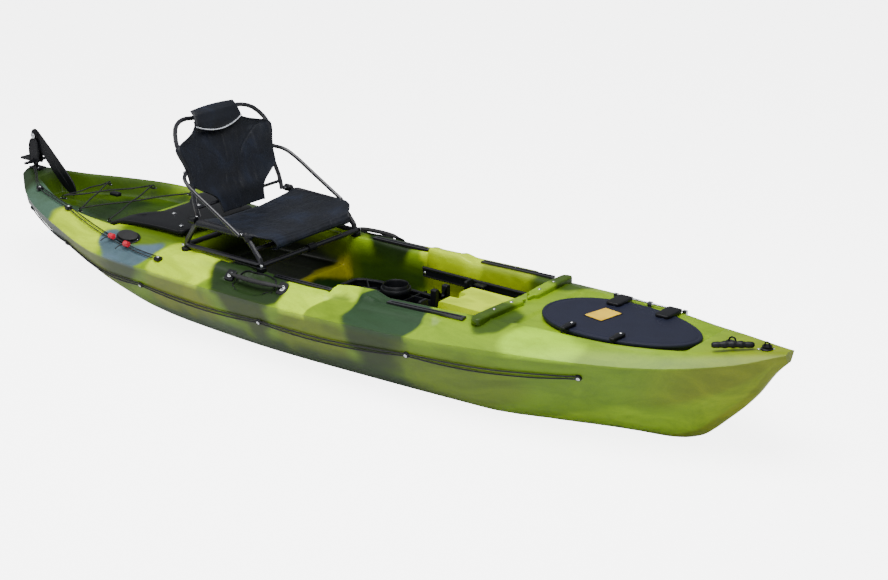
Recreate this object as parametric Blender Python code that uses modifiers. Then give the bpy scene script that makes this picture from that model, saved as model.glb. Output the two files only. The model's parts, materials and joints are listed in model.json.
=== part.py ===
"""Sit-on-top fishing kayak with a framed seat, rudder, foot controls, hatch and deck fittings.

Bow +X, port +Y, up +Z, in metres.  The origin is on the flat keel strip, amidships of the hull.
"""
import math

import bmesh
import bpy
import numpy as np
from mathutils import Matrix, Vector

# ---------------------------------------------------------------- driving dimensions
LENGTH = 3.65                 # stem to stern of the hull
BOW = LENGTH / 2
STERN = -LENGTH / 2
WALL = 0.0045                 # moulded wall thickness
LIFT = 0.0015                 # fittings sit this far above the faceted deck

# offset tables, as a boat is lofted: (station x, value)
HALF_BEAM = [(-1.825, .055), (-1.68, .164), (-1.387, .299), (-.912, .420), (-.18, .437),
             (.438, .407), (.985, .356), (1.387, .251), (1.679, .124), (1.825, .030)]
SHEER = [(-1.825, .346), (-1.68, .310), (-1.387, .286), (-.912, .253), (-.18, .253),
         (.438, .261), (.985, .292), (1.387, .310), (1.679, .350), (1.825, .391)]
GUNWALE = [(-1.825, .366), (-1.6, .345), (-1.3, .335), (-1.0, .325), (-.65, .313), (-.2, .302),
           (0.0, .302), (.25, .315), (.5, .327), (.75, .335), (1.05, .343), (1.4, .352),
           (1.65, .376), (1.825, .397)]
INNER_EDGE = [(-1.825, .018), (-1.66, .09), (-1.45, .19), (-1.2, .262), (-1.0, .27), (-.85, .25),
              (-.66, .238), (-.3, .250), (-.1, .272), (.1, .272), (.2, .247), (.64, .232),
              (.74, .222), (.9, .212), (1.2, .20), (1.5, .13), (1.825, .008)]
KEEL = [(-1.825, .20), (-1.57, .131), (-1.27, .064), (-1.0, .018), (-.8, 0), (1.40, 0), (1.45, .004),
        (1.52, .024), (1.618, .107), (1.719, .217), (1.783, .312), (1.825, .358)]
FLAT_STRIP = [(-1.825, .025), (-1.2, .05), (1.0, .06), (1.35, .03), (1.6, .012), (1.825, .010)]
FULLNESS = [(-1.825, 2.2), (-1.3, 2.5), (-1.0, 3.0), (-.6, 5.0), (-.1, 6.0), (.8, 5.8), (1.05, 3.5),
            (1.25, 2.4), (1.43, 1.9), (1.6, 1.5), (1.825, 1.2)]

# cockpit, tankwell and hatch well
COCKPIT = (-.69, .735)
SEAT_FLOOR = .19
FOOT_FLOOR = .115
RISER_X = -.248
TANKWELL = (-1.725, -1.03)
TANK_FLOOR = .265
HATCH_WELL = (.87, 1.515)
WELL_FLOOR = .330
BLOCK = (.455, .735)           # raised block ahead of the console
BLOCK_HALF = .104
BLOCK_TOP = .292

# seat
RAIL_Y = .27
TUBE_R = .011
SEAT_SIDE = [(-.225, .3265), (-.313, .431), (-.56, .437), (-.636, .3265)]
BACK_HINGE = (-.590, .437)
BACK_LEAN = math.radians(16.4)
STRUT_TOP = (-.640, .607)
STRUT_FOOT = (-.325, .431)
STRUT_Y = .292

# rudder
STEER_X = -1.800
BLADE_PIN = (-1.790, .512)
BLADE_TIP = (-1.560, .288)

# front hatch
HATCH_X = 1.187
HATCH_HALF_LENGTH = .304
HATCH_HALF_WIDTH = .180
HATCH_HINGE = (.197, .3575)


def curve(points, x):
    """Monotone cubic through (place, value) points: each inner slope is the weighted harmonic
    mean of the two secants beside it, and zero where they differ in sign."""
    places, values = np.array(points, float).T
    step = np.diff(places)
    secant = np.diff(values) / step
    slope = np.zeros_like(places)
    same = secant[:-1] * secant[1:] > 0
    before = (2 * step[1:] + step[:-1])[same]
    after = (step[1:] + 2 * step[:-1])[same]
    slope[1:-1][same] = (before + after) / (before / secant[:-1][same] + after / secant[1:][same])
    slope[0], slope[-1] = secant[0], secant[-1]
    x = np.clip(x, places[0], places[-1])
    i = np.clip(np.searchsorted(places, x) - 1, 0, len(places) - 2)
    t = (x - places[i]) / step[i]
    return ((1 + 2 * t) * (1 - t) ** 2 * values[i] + t * (1 - t) ** 2 * step[i] * slope[i]
            + t * t * (3 - 2 * t) * values[i + 1] - t * t * (1 - t) * step[i] * slope[i + 1])


def ramp(value, low, high):
    """0 below low, 1 above high, and a straight line between."""
    return np.clip((value - low) / (high - low), 0, 1)


def inside(x, ends, soft):
    """1 between the two ends and 0 outside them, with walls that are soft metres wide."""
    return np.minimum(ramp(x, ends[0], ends[0] + soft), ramp(-x, -ends[1], -ends[1] + soft))


def deck_height(x, y):
    """Height of the deck: a convex gunwale from the sheer to its inner edge, flat inboard of it,
    and let down into the tankwell, the cockpit and the hatch well."""
    x, y = np.asarray(x, float), np.abs(np.asarray(y, float))
    beam, sheer, top, edge = (curve(table, x) for table in (HALF_BEAM, SHEER, GUNWALE, INNER_EDGE))
    across = np.clip((beam - y) / np.maximum(beam - edge, .004), 0, 1)
    height = sheer + (top - sheer) * (1 - (1 - across) ** 1.7)
    inboard = ramp(edge - y, .004, .032)
    riser = ramp(x, RISER_X - .012, RISER_X + .012)
    foot = SEAT_FLOOR + (FOOT_FLOOR - SEAT_FLOOR) * riser
    block = ramp(x, BLOCK[0] - .012, BLOCK[0] + .012) * ramp(BLOCK_HALF + .008 - y, 0, .016)
    foot = foot + (BLOCK_TOP - foot) * block
    wells = (COCKPIT, foot, .03), (TANKWELL, TANK_FLOOR, .035), (HATCH_WELL, WELL_FLOOR, .02)
    for ends, floor, soft in wells:
        down = np.minimum(inside(x, ends, soft), inboard)
        height = height + (np.minimum(floor, height) - height) * down
    return height


# ---------------------------------------------------------------- scene, materials and helpers
for old in list(bpy.data.objects):
    bpy.data.objects.remove(old, do_unlink=True)

kayak = bpy.data.collections.new("fishing_kayak")
cutters = bpy.data.collections.new("cutters")
for group in (kayak, cutters):
    bpy.context.scene.collection.children.link(group)


def material(name, colour, roughness, metallic=0.0):
    """A Principled material of one plain colour."""
    made = bpy.data.materials.new(name)
    made.use_nodes = True
    shader = made.node_tree.nodes["Principled BSDF"]
    shader.inputs["Base Color"].default_value = (*colour, 1)
    shader.inputs["Roughness"].default_value = roughness
    shader.inputs["Metallic"].default_value = metallic
    made.diffuse_color = (*colour, 1)
    return made


POLYETHYLENE = material("rotomoulded_polyethylene", (.45, .60, .06), .38)
LID = material("moulded_lid_plastic", (.03, .035, .05), .45)
FITTING = material("black_nylon", (.015, .015, .018), .45)
FRAME = material("powder_coated_aluminium", (.02, .02, .025), .4, .3)
FABRIC = material("coated_mesh_fabric", (.03, .04, .06), .7)
RUBBER = material("black_rubber", (.012, .012, .012), .8)
CORD = material("braided_cord", (.01, .01, .01), .8)
STEEL = material("stainless_steel", (.6, .6, .62), .25, 1)
RED = material("red_plastic", (.6, .02, .04), .35)
YELLOW = material("yellow_plate", (.75, .55, .03), .4)


def finish(obj, name, mat, group=kayak):
    """Names the object, gives it its material, and files it in its collection."""
    obj.name = obj.data.name = name
    obj.data.materials.clear()
    obj.data.materials.append(mat)
    for holder in list(obj.users_collection):
        holder.objects.unlink(obj)
    group.objects.link(obj)
    return obj


def from_bmesh(bm, name, mat, angle=35):
    """A bmesh as a finished object, smooth except at edges sharper than the angle."""
    mesh = bpy.data.meshes.new(name)
    bm.to_mesh(mesh)
    bm.free()
    mesh.shade_smooth()
    mesh.set_sharp_from_angle(angle=math.radians(angle))
    obj = bpy.data.objects.new(name, mesh)
    kayak.objects.link(obj)
    return finish(obj, name, mat)


def box(name, low, high, mat, bevel=0.0, turn=None):
    """A block from its two corners, with rounded edges, turned by a matrix about its own middle."""
    low, high = Vector(low), Vector(high)
    bm = bmesh.new()
    bmesh.ops.create_cube(bm, size=1)
    bmesh.ops.scale(bm, vec=high - low, verts=bm.verts)
    if bevel:
        bmesh.ops.bevel(bm, geom=bm.edges[:], offset=bevel, segments=1, affect='EDGES')
    obj = from_bmesh(bm, name, mat)
    obj.matrix_world = Matrix.Translation((low + high) / 2) @ (turn or Matrix())
    return obj


def rod(name, start, end, radius, mat, sides=12, end_radius=None):
    """A round bar, or a cone, between two points."""
    start, end = Vector(start), Vector(end)
    bm = bmesh.new()
    bmesh.ops.create_cone(bm, cap_ends=True, segments=sides, radius1=radius,
                          radius2=radius if end_radius is None else end_radius, depth=(end - start).length)
    obj = from_bmesh(bm, name, mat)
    turn = (end - start).to_track_quat('Z', 'Y').to_matrix().to_4x4()
    obj.matrix_world = Matrix.Translation((start + end) / 2) @ turn
    return obj


def smooth_path(points, per_span=3, closed=False):
    """A Catmull-Rom curve through the points, sampled per_span times in each span."""
    route = [Vector(p) for p in points]
    count = len(route)
    spans = count if closed else count - 1
    path = []
    for i in range(spans):
        if closed:
            p0, p1, p2, p3 = (route[(i + k) % count] for k in (-1, 0, 1, 2))
        else:
            p0, p1, p2, p3 = (route[min(max(i + k, 0), count - 1)] for k in (-1, 0, 1, 2))
        for step in range(per_span):
            t = step / per_span
            path.append(0.5 * (2 * p1 + (p2 - p0) * t + (2 * p0 - 5 * p1 + 4 * p2 - p3) * t * t
                               + (3 * p1 - p0 - 3 * p2 + p3) * t ** 3))
    if not closed:
        path.append(route[-1])
    return path


def tube(name, path, radius, mat, closed=False, resolution=2):
    """A round tube along a path: a bevelled poly spline made into a mesh with welded caps."""
    data = bpy.data.curves.new(name, 'CURVE')
    data.dimensions = '3D'
    data.bevel_depth = radius
    data.bevel_resolution = resolution
    data.use_fill_caps = True
    spline = data.splines.new('POLY')
    spline.points.add(len(path) - 1)
    for point, place in zip(spline.points, path):
        point.co = (*place, 1)
    spline.use_cyclic_u = closed
    guide = bpy.data.objects.new(name, data)
    kayak.objects.link(guide)
    bpy.context.view_layer.update()
    mesh = bpy.data.meshes.new_from_object(guide.evaluated_get(bpy.context.evaluated_depsgraph_get()))
    bpy.data.objects.remove(guide, do_unlink=True)
    bpy.data.curves.remove(data)
    bm = bmesh.new()
    bm.from_mesh(mesh)
    bpy.data.meshes.remove(mesh)
    bmesh.ops.remove_doubles(bm, verts=bm.verts, dist=1e-5)
    bmesh.ops.recalc_face_normals(bm, faces=bm.faces)
    return from_bmesh(bm, name, mat)


def plate(name, outline, thickness, mat, place, bevel=0.0):
    """A flat outline given in its own X and Y, thickened up from Z = 0, and placed by a matrix."""
    bm = bmesh.new()
    face = bm.faces.new([bm.verts.new((x, y, 0)) for x, y in outline])
    lifted = bmesh.ops.extrude_face_region(bm, geom=[face])
    top = [v for v in lifted["geom"] if isinstance(v, bmesh.types.BMVert)]
    bmesh.ops.translate(bm, vec=(0, 0, thickness), verts=top)
    bmesh.ops.recalc_face_normals(bm, faces=bm.faces)
    if bevel:
        rim = [e for e in bm.edges if all(v.co.z > thickness / 2 for v in e.verts)]
        bmesh.ops.bevel(bm, geom=rim, offset=bevel, segments=1, affect='EDGES')
    obj = from_bmesh(bm, name, mat)
    obj.matrix_world = place
    return obj


def boolean(obj, operands, operation):
    """Joins or cuts an object with others, which move to the cutters' collection."""
    for operand in operands:
        for holder in list(operand.users_collection):
            holder.objects.unlink(operand)
        cutters.objects.link(operand)
        operand.name = operand.data.name = "tool_" + operand.name
        operand.hide_render = True
        operand.display_type = 'WIRE'
        modifier = obj.modifiers.new(operation.lower(), 'BOOLEAN')
        modifier.operation = operation
        modifier.solver = 'EXACT'
        modifier.object = operand
    return obj


def join(obj, *operands):
    """Unites pieces that are one part."""
    return boolean(obj, operands, 'UNION')


def cut(obj, *operands):
    """Takes the operands away from a part."""
    return boolean(obj, operands, 'DIFFERENCE')


def sheet(name, grid, thickness, mat):
    """A thin curved panel: a grid of points (rows, columns, xyz), thickened about its middle."""
    rows, columns = grid.shape[:2]
    index = np.arange(rows * columns).reshape(rows, columns)
    quads = np.stack([index[:-1, :-1], index[1:, :-1], index[1:, 1:], index[:-1, 1:]], -1).reshape(-1, 4)
    mesh = bpy.data.meshes.new(name)
    mesh.from_pydata(grid.reshape(-1, 3).tolist(), [], quads.tolist())
    mesh.shade_smooth()
    obj = bpy.data.objects.new(name, mesh)
    kayak.objects.link(obj)
    solid = obj.modifiers.new("thickness", 'SOLIDIFY')
    solid.thickness = thickness
    solid.offset = 0
    return finish(obj, name, mat)


def turned_about(obj, place):
    """Moves the object's origin to a point on its joint's axis, leaving its shape where it is."""
    bpy.context.view_layer.update()
    old = obj.matrix_world.copy()
    new = Matrix.Translation(place)
    obj.data.transform(new.inverted() @ old)
    obj.matrix_world = new
    return obj


# ---------------------------------------------------------------- hull
def section(x):
    """Half of a cross-section at station x, from the keel round to the middle of the deck."""
    beam, sheer, keel = (float(curve(t, x)) for t in (HALF_BEAM, SHEER, KEEL))
    flat = float(curve(FLAT_STRIP, x))
    full = float(curve(FULLNESS, x))
    edge = float(curve(INNER_EDGE, x))
    points = [(0.0, keel)]
    for share in (0, .45, .68, .84, .94, 1):
        y = flat + (beam - .001 - flat) * share
        points.append((y, keel + (sheer - keel) * share ** full))
    side = (beam - .45 * (beam - edge), edge + .004, edge - .032, edge * .65, BLOCK_HALF + .010,
            BLOCK_HALF - .010, 0.0)
    last = points[-1][0]
    for y in side:
        if y and abs(x) > 1.73:
            y = min(max(y, last * .72), last * .86)
        y = min(y, last)
        points.append((y, float(deck_height(x, y)) - .001))
        last = y
    return [(x, y, z) for y, z in points]


def make_hull():
    """A lofted shell: half the sections, mirrored, thickened inwards, and cut for its openings."""
    stations = [STERN, -1.805, -1.765, -1.725, -1.69, -1.62, -1.55, -1.47, -1.38, -1.28, -1.17, -1.065,
                -1.03, -.93, -.83, -.75, -.69, -.66, -.56, -.45, -.34, -.262, -.234, -.14, -.05, .05,
                .15, .23, .32, .397, .423, .52, .62, .705, .735, .79, .87, .89, .98, 1.08, 1.18, 1.28,
                1.38, 1.45, 1.495, 1.515, 1.58, 1.65, 1.71, 1.76, 1.80, BOW]
    rows = np.array([section(x) for x in stations])
    count, around = rows.shape[:2]
    index = np.arange(count * around).reshape(count, around)
    quads = np.stack([index[:-1, :-1], index[:-1, 1:], index[1:, 1:], index[1:, :-1]], -1)
    faces = quads.reshape(-1, 4).tolist()
    last = around - 1
    for j in range(around // 2 - 1):
        rung = [j, last - j, last - j - 1, j + 1]
        faces.append(index[0, rung].tolist())
        faces.append(index[-1, rung[::-1]].tolist())
    mesh = bpy.data.meshes.new("hull")
    mesh.from_pydata(rows.reshape(-1, 3).tolist(), [], faces)
    mesh.shade_smooth()
    mesh.set_sharp_from_angle(angle=math.radians(40))
    hull = bpy.data.objects.new("hull", mesh)
    kayak.objects.link(hull)
    mirror = hull.modifiers.new("port_and_starboard", 'MIRROR')
    mirror.use_axis = (False, True, False)
    mirror.merge_threshold = 0.0001
    solid = hull.modifiers.new("wall", 'SOLIDIFY')
    solid.thickness = WALL
    solid.offset = -1
    finish(hull, "hull", POLYETHYLENE)
    hold = rod("front_hold_mouth", (HATCH_X, 0, .25), (HATCH_X, 0, .42), 1, LID, sides=20)
    hold.scale = (HATCH_HALF_LENGTH - .045, HATCH_HALF_WIDTH - .045, 1)
    drain = rod("drain_hole", (STERN + .035, 0, .24), (STERN - .02, 0, .24), .0105, LID, sides=12)
    holes = [hold, drain]
    for side in (-1, 1):
        holes.append(rod("rod_hole", rod_point(side, -.06), rod_point(side, .06), .0265, LID, sides=12))
    cut(hull, *holes)


ROD_HOLDER = (-.905, .312)    # where the holder's axis meets the gunwale
ROD_LEAN = math.radians(24)


def rod_point(side, along):
    """A point along a rod holder's axis, measured up from the gunwale."""
    x, y = ROD_HOLDER
    z = float(deck_height(x, y))
    return Vector((x - along * math.sin(ROD_LEAN), side * (y + .1 * along), z + along * math.cos(ROD_LEAN)))


def oval(half_x, half_y, count=20):
    """An ellipse as a list of points."""
    return [(half_x * math.cos(2 * math.pi * i / count), half_y * math.sin(2 * math.pi * i / count))
            for i in range(count)]


def deck_frame(x, y, lift):
    """A matrix whose Z is the deck's normal at a place, lifted off the deck."""
    step = .02
    slope_x = float(deck_height(x + step, y) - deck_height(x - step, y)) / (2 * step)
    slope_y = float(deck_height(x, y + step) - deck_height(x, y - step)) / (2 * step)
    normal = Vector((-slope_x, -slope_y, 1)).normalized()
    along = Vector((1, 0, slope_x)).normalized()
    turn = Matrix((along, normal.cross(along), normal)).transposed().to_4x4()
    return Matrix.Translation(Vector((x, y, float(deck_height(x, y)))) + normal * lift) @ turn


def make_rod_holders():
    """Two flush cups with an oval flange, closed below, each with a rubber cap on a hinge."""
    x, y = ROD_HOLDER
    for side, word in ((-1, "starboard"), (1, "port")):
        flange = plate("rod_holder_" + word, oval(.056, .034), .004, FITTING, deck_frame(x, side * y, .0030))
        join(flange, rod("cup", rod_point(side, -.17), rod_point(side, -.005), .024, FITTING, 12))
        cut(flange, rod("bore", rod_point(side, -.165), rod_point(side, .05), .0205, FITTING, 12))
        cap = plate("rod_holder_cap_" + word, oval(.048, .028), .006, RUBBER, deck_frame(x, side * y, .0080))
        turned_about(cap, deck_frame(x - .047, side * y, .0106).translation)


# ---------------------------------------------------------------- front hatch
def egg(scale, count=28, shrink=0.0):
    """The hatch outline: an ellipse that narrows towards the bow, sides pulled in by its x."""
    points = []
    for i in range(count):
        angle = 2 * math.pi * i / count
        along = math.cos(angle)
        x = (HATCH_HALF_LENGTH * scale - shrink) * along
        y = (HATCH_HALF_WIDTH * scale - shrink) * math.sin(angle) * (1 - .13 * along)
        points.append((x, y))
    return points


def make_front_hatch():
    """A rim bolted in the well, a lid hinged to port, two turning latches and a blank plate."""
    at = Matrix.Translation
    rim = plate("front_hatch_rim", egg(1.0, shrink=.006), .0085, FITTING, at((HATCH_X, 0, WELL_FLOOR + .0015)))
    cut(rim, plate("rim_mouth", egg(1.0, shrink=.040), .05, FITTING, at((HATCH_X, 0, WELL_FLOOR - .02))))
    lid = plate("front_hatch_lid", egg(1.0), .012, LID, at((HATCH_X, 0, WELL_FLOOR + .0105)), bevel=.004)
    join(lid, plate("lid_skirt", egg(1.0, shrink=.062), .016, LID, at((HATCH_X, 0, WELL_FLOOR - .004))))
    for x in (1.075, 1.275):
        join(lid, box("knuckle", (x - .028, .110, WELL_FLOOR + .0205), (x + .028, HATCH_HINGE[0] + .008, WELL_FLOOR + .034), LID))
        cut(lid, rod("pin_bore", (x - .05, HATCH_HINGE[0], HATCH_HINGE[1]), (x + .05, HATCH_HINGE[0], HATCH_HINGE[1]),
                     .0040, LID, 12))
    y, z = HATCH_HINGE
    pin = rod("hatch_hinge_bar", (1.030, y, z), (1.320, y, z), .0034, STEEL)
    for x in (1.034, 1.175, 1.316):
        low = float(deck_height(x, y + .006)) + .0010
        join(pin, box("lug", (x - .008, y - .006, low), (x + .008, y + .006, z + .006), STEEL))
    box("hatch_lid_plate", (1.052, -.040, WELL_FLOOR + .0230), (1.142, .058, WELL_FLOOR + .0265), YELLOW, bevel=.001)
    for name, x, y in (("aft", 1.075, -.142), ("fore", 1.262, -.126)):
        low = WELL_FLOOR + .0232
        latch = rod("hatch_latch_" + name, (x, y, low), (x, y, low + .009), .014, FITTING, 12)
        join(latch, box("lever", (x - .009, y - .058, low + .0006), (x + .009, y, low + .0070), FITTING))
        turned_about(latch, (x, y, low))
        base = max(float(deck_height(x, y - reach)) for reach in (.048, .056, .064)) + .0010
        rod("hatch_catch_" + name, (x, y - .056, base), (x, y - .056, low), .006, FITTING, 10)


# ---------------------------------------------------------------- deck and cockpit fittings
def make_gear_tracks():
    """Four aluminium slotted tracks, two each side, along the inner edge of the gunwale."""
    tracks = (("aft", -.150, .126, .287, .287), ("fore", .385, .715, .279, .268))
    for side, word in ((-1, "starboard"), (1, "port")):
        for name, start, end, y_start, y_end in tracks:
            length = end - start
            middle = Vector(((start + end) / 2, side * (y_start + y_end) / 2, 0))
            height = max(float(deck_height(x, y)) for x, y in ((start, y_start), (end, y_end))) + LIFT + .0010
            yaw = Matrix.Rotation(math.atan2(side * (y_end - y_start), length), 4, 'Z')
            rise = float(deck_height(end, y_end) - deck_height(start, y_start))
            pitch = Matrix.Rotation(-math.atan2(rise, length), 4, 'Y')
            lay = Matrix.Translation((middle.x, middle.y, height - abs(rise) / 2)) @ yaw @ pitch
            track = box(f"gear_track_{name}_{word}", (-length / 2, -.012, 0), (length / 2, .012, .008), FRAME)
            track.data.transform(Matrix.Translation((0, 0, .004)))
            track.matrix_world = lay
            slot = box("slot", (-length / 2 + .012, -.0035, .0), (length / 2 - .012, .0035, .02), FRAME)
            slot.data.transform(Matrix.Translation((0, 0, .0125)))
            slot.matrix_world = lay
            cut(track, slot)


PEDAL_X = .452


def make_foot_controls():
    """On each side a toothed rail, a carriage that slides on it, and a hinged rudder pedal."""
    for side, word in ((-1, "starboard"), (1, "port")):
        def across(a, b):
            return min(side * a, side * b), max(side * a, side * b)
        low, high = across(.190, .205)
        rail = box("foot_rail_" + word, (.165, low, .246), (.665, high, .272), FITTING, bevel=.002)
        for x in (.180, .650):
            low, high = across(.200, .2175)
            join(rail, box("stand_off", (x - .012, low, .250), (x + .012, high, .268), FITTING))
        low, high = across(.160, .1895)
        carriage = box("foot_carriage_" + word, (PEDAL_X - .024, low, .242), (PEDAL_X + .024, high, .276), FITTING, bevel=.003)
        low, high = across(.112, .1595)
        pedal = box("foot_pedal_" + word, (PEDAL_X - .030, low, .205), (PEDAL_X - .020, high, .300), FITTING, bevel=.003)
        low, high = across(.130, .1592)
        join(pedal, rod("barrel", (PEDAL_X - .020, low, .259), (PEDAL_X - .020, high, .259), .009, FITTING, 12))
        turned_about(pedal, (PEDAL_X - .020, side * .14, .259))


def make_console():
    """A tray on the middle of the footwell with a drop-in cup and a bracket at its fore end."""
    low, high = (-.045, -.082, FOOT_FLOOR + .0025), (.421, .082, .228)
    tray = box("console_tray", low, high, FITTING, bevel=.006)
    cut(tray, box("tray_hollow", (-.037, -.074, FOOT_FLOOR + .0070), (.126, .074, .30), FITTING))
    cut(tray, box("tray_fore_hollow", (.256, -.074, FOOT_FLOOR + .0070), (.413, .074, .30), FITTING))
    cut(tray, rod("cup_well", (.190, 0, FOOT_FLOOR + .0070), (.190, 0, .35), .0505, FITTING, 20))
    cup = rod("console_cup", (.190, 0, FOOT_FLOOR + .0120), (.190, 0, .272), .0495, FITTING, 20)
    join(cup, rod("cup_flange", (.190, 0, .2290), (.190, 0, .2600), .058, FITTING, 20))
    cut(cup, rod("cup_bore", (.190, 0, FOOT_FLOOR + .0170), (.190, 0, .30), .0450, FITTING, 20))
    bracket = box("console_bracket", (.388, -.045, .2286), (.412, .045, .304), FITTING, bevel=.003)
    cut(bracket, box("bracket_slot", (.380, -.022, .272), (.420, .022, .33), FITTING))


def make_rear_cover():
    """The moulded cover over the deck behind the seat, its aft corners drawn out and curled down."""
    outline = [(-.715, 0), (-.715, .190), (-.735, .206), (-.86, .212), (-.985, .232), (-1.055, .252), (-1.085, .236),
               (-1.075, .212), (-1.01, .186), (-.975, .150), (-.968, 0)]
    half = outline[1:-1]
    whole = half + [(x, -y) for x, y in reversed(half)]
    bm = bmesh.new()
    bm.faces.new([bm.verts.new((x, y, 0)) for x, y in whole])
    lifted = bmesh.ops.extrude_face_region(bm, geom=bm.faces[:])
    bmesh.ops.translate(bm, vec=(0, 0, .018), verts=[v for v in lifted["geom"] if isinstance(v, bmesh.types.BMVert)])
    bmesh.ops.recalc_face_normals(bm, faces=bm.faces)
    for vert in bm.verts:
        seat = max(float(deck_height(x, .0)) for x in (-.72, -.86, -.99))
        vert.co.z += seat + LIFT + .0015
    from_bmesh(bm, "rear_cover", FITTING)


def make_handles():
    """A carrying handle on each gunwale, the bow grip on its strap, and the bow's two eyes."""
    for side, word in ((-1, "starboard"), (1, "port")):
        ends = (-.325, -.062)
        path = []
        for i in range(9):
            share = i / 8
            x = ends[0] + (ends[1] - ends[0]) * share
            y = .346 + .022 * math.sin(math.pi * share) ** .7
            z = float(deck_height(x, y)) + .013 + .014 * math.sin(math.pi * share) ** .6
            path.append((x, side * y, z))
        grip = tube("side_handle_" + word, path, .009, RUBBER, resolution=1)
        for x, y, z in (path[0], path[-1]):
            pad = box("pad", (x - .020, y - .014, z - .0085), (x + .020, y + .014, z + .004), RUBBER)
            join(grip, pad)
    deck = float(deck_height(1.614, .0)) + .0020
    base = box("bow_strap_eye", (1.590, -.014, deck), (1.638, .014, deck + .006), FITTING, bevel=.001)
    join(base, tube("arch", smooth_path([(1.600, 0, deck + .003), (1.604, 0, deck + .018), (1.614, 0, deck + .022),
                                         (1.624, 0, deck + .018), (1.628, 0, deck + .003)], 2), .003, FITTING))
    grip = tube("bow_grip", smooth_path([(1.600, -.094, deck + .018), (1.650, -.061, deck + .023), (1.700, -.028, deck + .024)], 3),
                .0125, FITTING)
    join(grip, tube("strap", smooth_path([(1.650, -.061, deck + .022), (1.634, -.036, deck + .020),
                                          (1.618, -.010, deck + .0105)], 2), .0035, CORD))
    turned_about(grip, (1.614, 0, deck + .012))
    tip = float(deck_height(1.742, .0)) + .0045
    eye = rod("bow_tip_eye", (1.742, 0, tip), (1.742, 0, tip + .005), .017, FITTING, 14)
    join(eye, tube("tip_arch", smooth_path([(1.732, 0, tip + .003), (1.735, 0, tip + .015), (1.742, 0, tip + .018),
                                            (1.749, 0, tip + .015), (1.752, 0, tip + .003)], 2), .0028, FITTING))


# ---------------------------------------------------------------- seat
def side_point(x, z, side):
    return Vector((x, side * RAIL_Y, z))


def rounded(corners, radius=.03):
    """A closed loop with each corner cut by an arc of three points."""
    path = []
    count = len(corners)
    for i, corner in enumerate(corners):
        before = (corners[i - 1] - corner).normalized() * radius
        after = (corners[(i + 1) % count] - corner).normalized() * radius
        for t in (0, .5, 1):
            path.append(corner + before * (1 - t) ** 2 + after * t ** 2)
    return path


def make_seat_base():
    """Two side loops of tube joined by three cross tubes, with a clamp in the middle of the front one."""
    loops = []
    for side in (-1, 1):
        corners = [side_point(x, z, side) for x, z in SEAT_SIDE]
        loops.append(tube("seat_base_frame", rounded(corners), TUBE_R, FRAME, closed=True))
    frame = finish(loops[0], "seat_base_frame", FRAME)
    front_x, low = SEAT_SIDE[0]
    rear_x = SEAT_SIDE[3][0]
    crosses = [rod("cross", (front_x - .004, -RAIL_Y, low), (front_x - .004, RAIL_Y, low), TUBE_R * .94, FRAME, 10),
               rod("cross", (rear_x + .006, -RAIL_Y, low), (rear_x + .006, RAIL_Y, low), TUBE_R * .94, FRAME, 10),
               rod("cross", (-.262, -RAIL_Y, .382), (-.262, RAIL_Y, .382), TUBE_R * .8, FRAME, 10)]
    join(frame, loops[1], *crosses)
    clamp = rod("seat_front_clamp", (front_x - .004, -.020, low), (front_x - .004, .020, low), .016, FITTING, 14)
    cut(clamp, rod("clamp_bore", (front_x - .004, -.04, low), (front_x - .004, .04, low), TUBE_R + .0006, FITTING, 20))


def make_seat_sling():
    """The seat's fabric, slung between the side tubes and dipping in the middle."""
    xs = np.array([-.566, -.49, -.41, -.33, -.25, -.205])
    ys = np.linspace(-.252, .252, 7)
    x, y = np.meshgrid(xs, ys, indexing="ij")
    dip = 1 - (y / .256) ** 2
    front = ramp(x, -.33, -.20)
    z = .441 - .026 * dip - .012 * front
    sheet("seat_sling", np.stack([x, y, z], -1), .006, FABRIC)


def back_point(along, y, out=0.0):
    """A point on the back's plane: along it from the hinge, and out in front of it."""
    x, z = BACK_HINGE
    lean = (-math.sin(BACK_LEAN), math.cos(BACK_LEAN))
    face = (math.cos(BACK_LEAN), math.sin(BACK_LEAN))
    return Vector((x + lean[0] * along + face[0] * out, y, z + lean[1] * along + face[1] * out))


BACK_OUTLINE = [(0.0, .236, 0), (.06, .238, 0), (.13, .226, 0), (.20, .232, 0), (.262, .248, -.003), (.300, .244, -.012),
                (.345, .215, -.030), (.366, .175, -.044), (.371, .13, -.050), (.364, .07, -.052)]


def make_seat_back():
    """The back's tube frame with its two hand loops, the slung fabric and the headrest pad."""
    port = [back_point(a, y, out) for a, y, out in BACK_OUTLINE]
    starboard = [back_point(a, -y, out) for a, y, out in reversed(BACK_OUTLINE)]
    route = smooth_path(port + starboard, 2)
    frame = tube("seat_back_frame", route, TUBE_R * .82, FRAME)
    low_bar = rod("low_bar", back_point(.035, -.236), back_point(.035, .236), .007, FRAME, 8)
    join(frame, low_bar)
    turned_about(frame, back_point(0, 0))
    alongs = np.array([-.005, .025, .060, .11, .17, .23, .275, .300])
    halves = np.interp(alongs, [-.005, .02, .06, .13, .20, .262, .300], [.114, .120, .145, .203, .211, .226, .150])
    slack = np.interp(alongs, [.06, .13, .300], [0, .022, .030])
    front = np.interp(alongs, [.06, .13, .262, .300], [.0165, .004, .001, -.008])
    grid = np.array([[back_point(a, h * s, f - d * (1 - s * s)) for s in np.linspace(-1, 1, 7)]
                     for a, h, d, f in zip(alongs, halves, slack, front)])
    sling = sheet("seat_back_sling", grid[:, ::-1], .006, FABRIC)
    turned_about(sling, back_point(0, 0))
    head = np.array([[back_point(a, y, out) for y in np.linspace(-.118, .118, 5)]
                     for a, out in ((.314, -.020), (.342, -.022), (.378, -.026), (.402, -.040))])
    pad = sheet("seat_headrest", head[:, ::-1], .016, FABRIC)
    turned_about(pad, back_point(0, 0))


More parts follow.
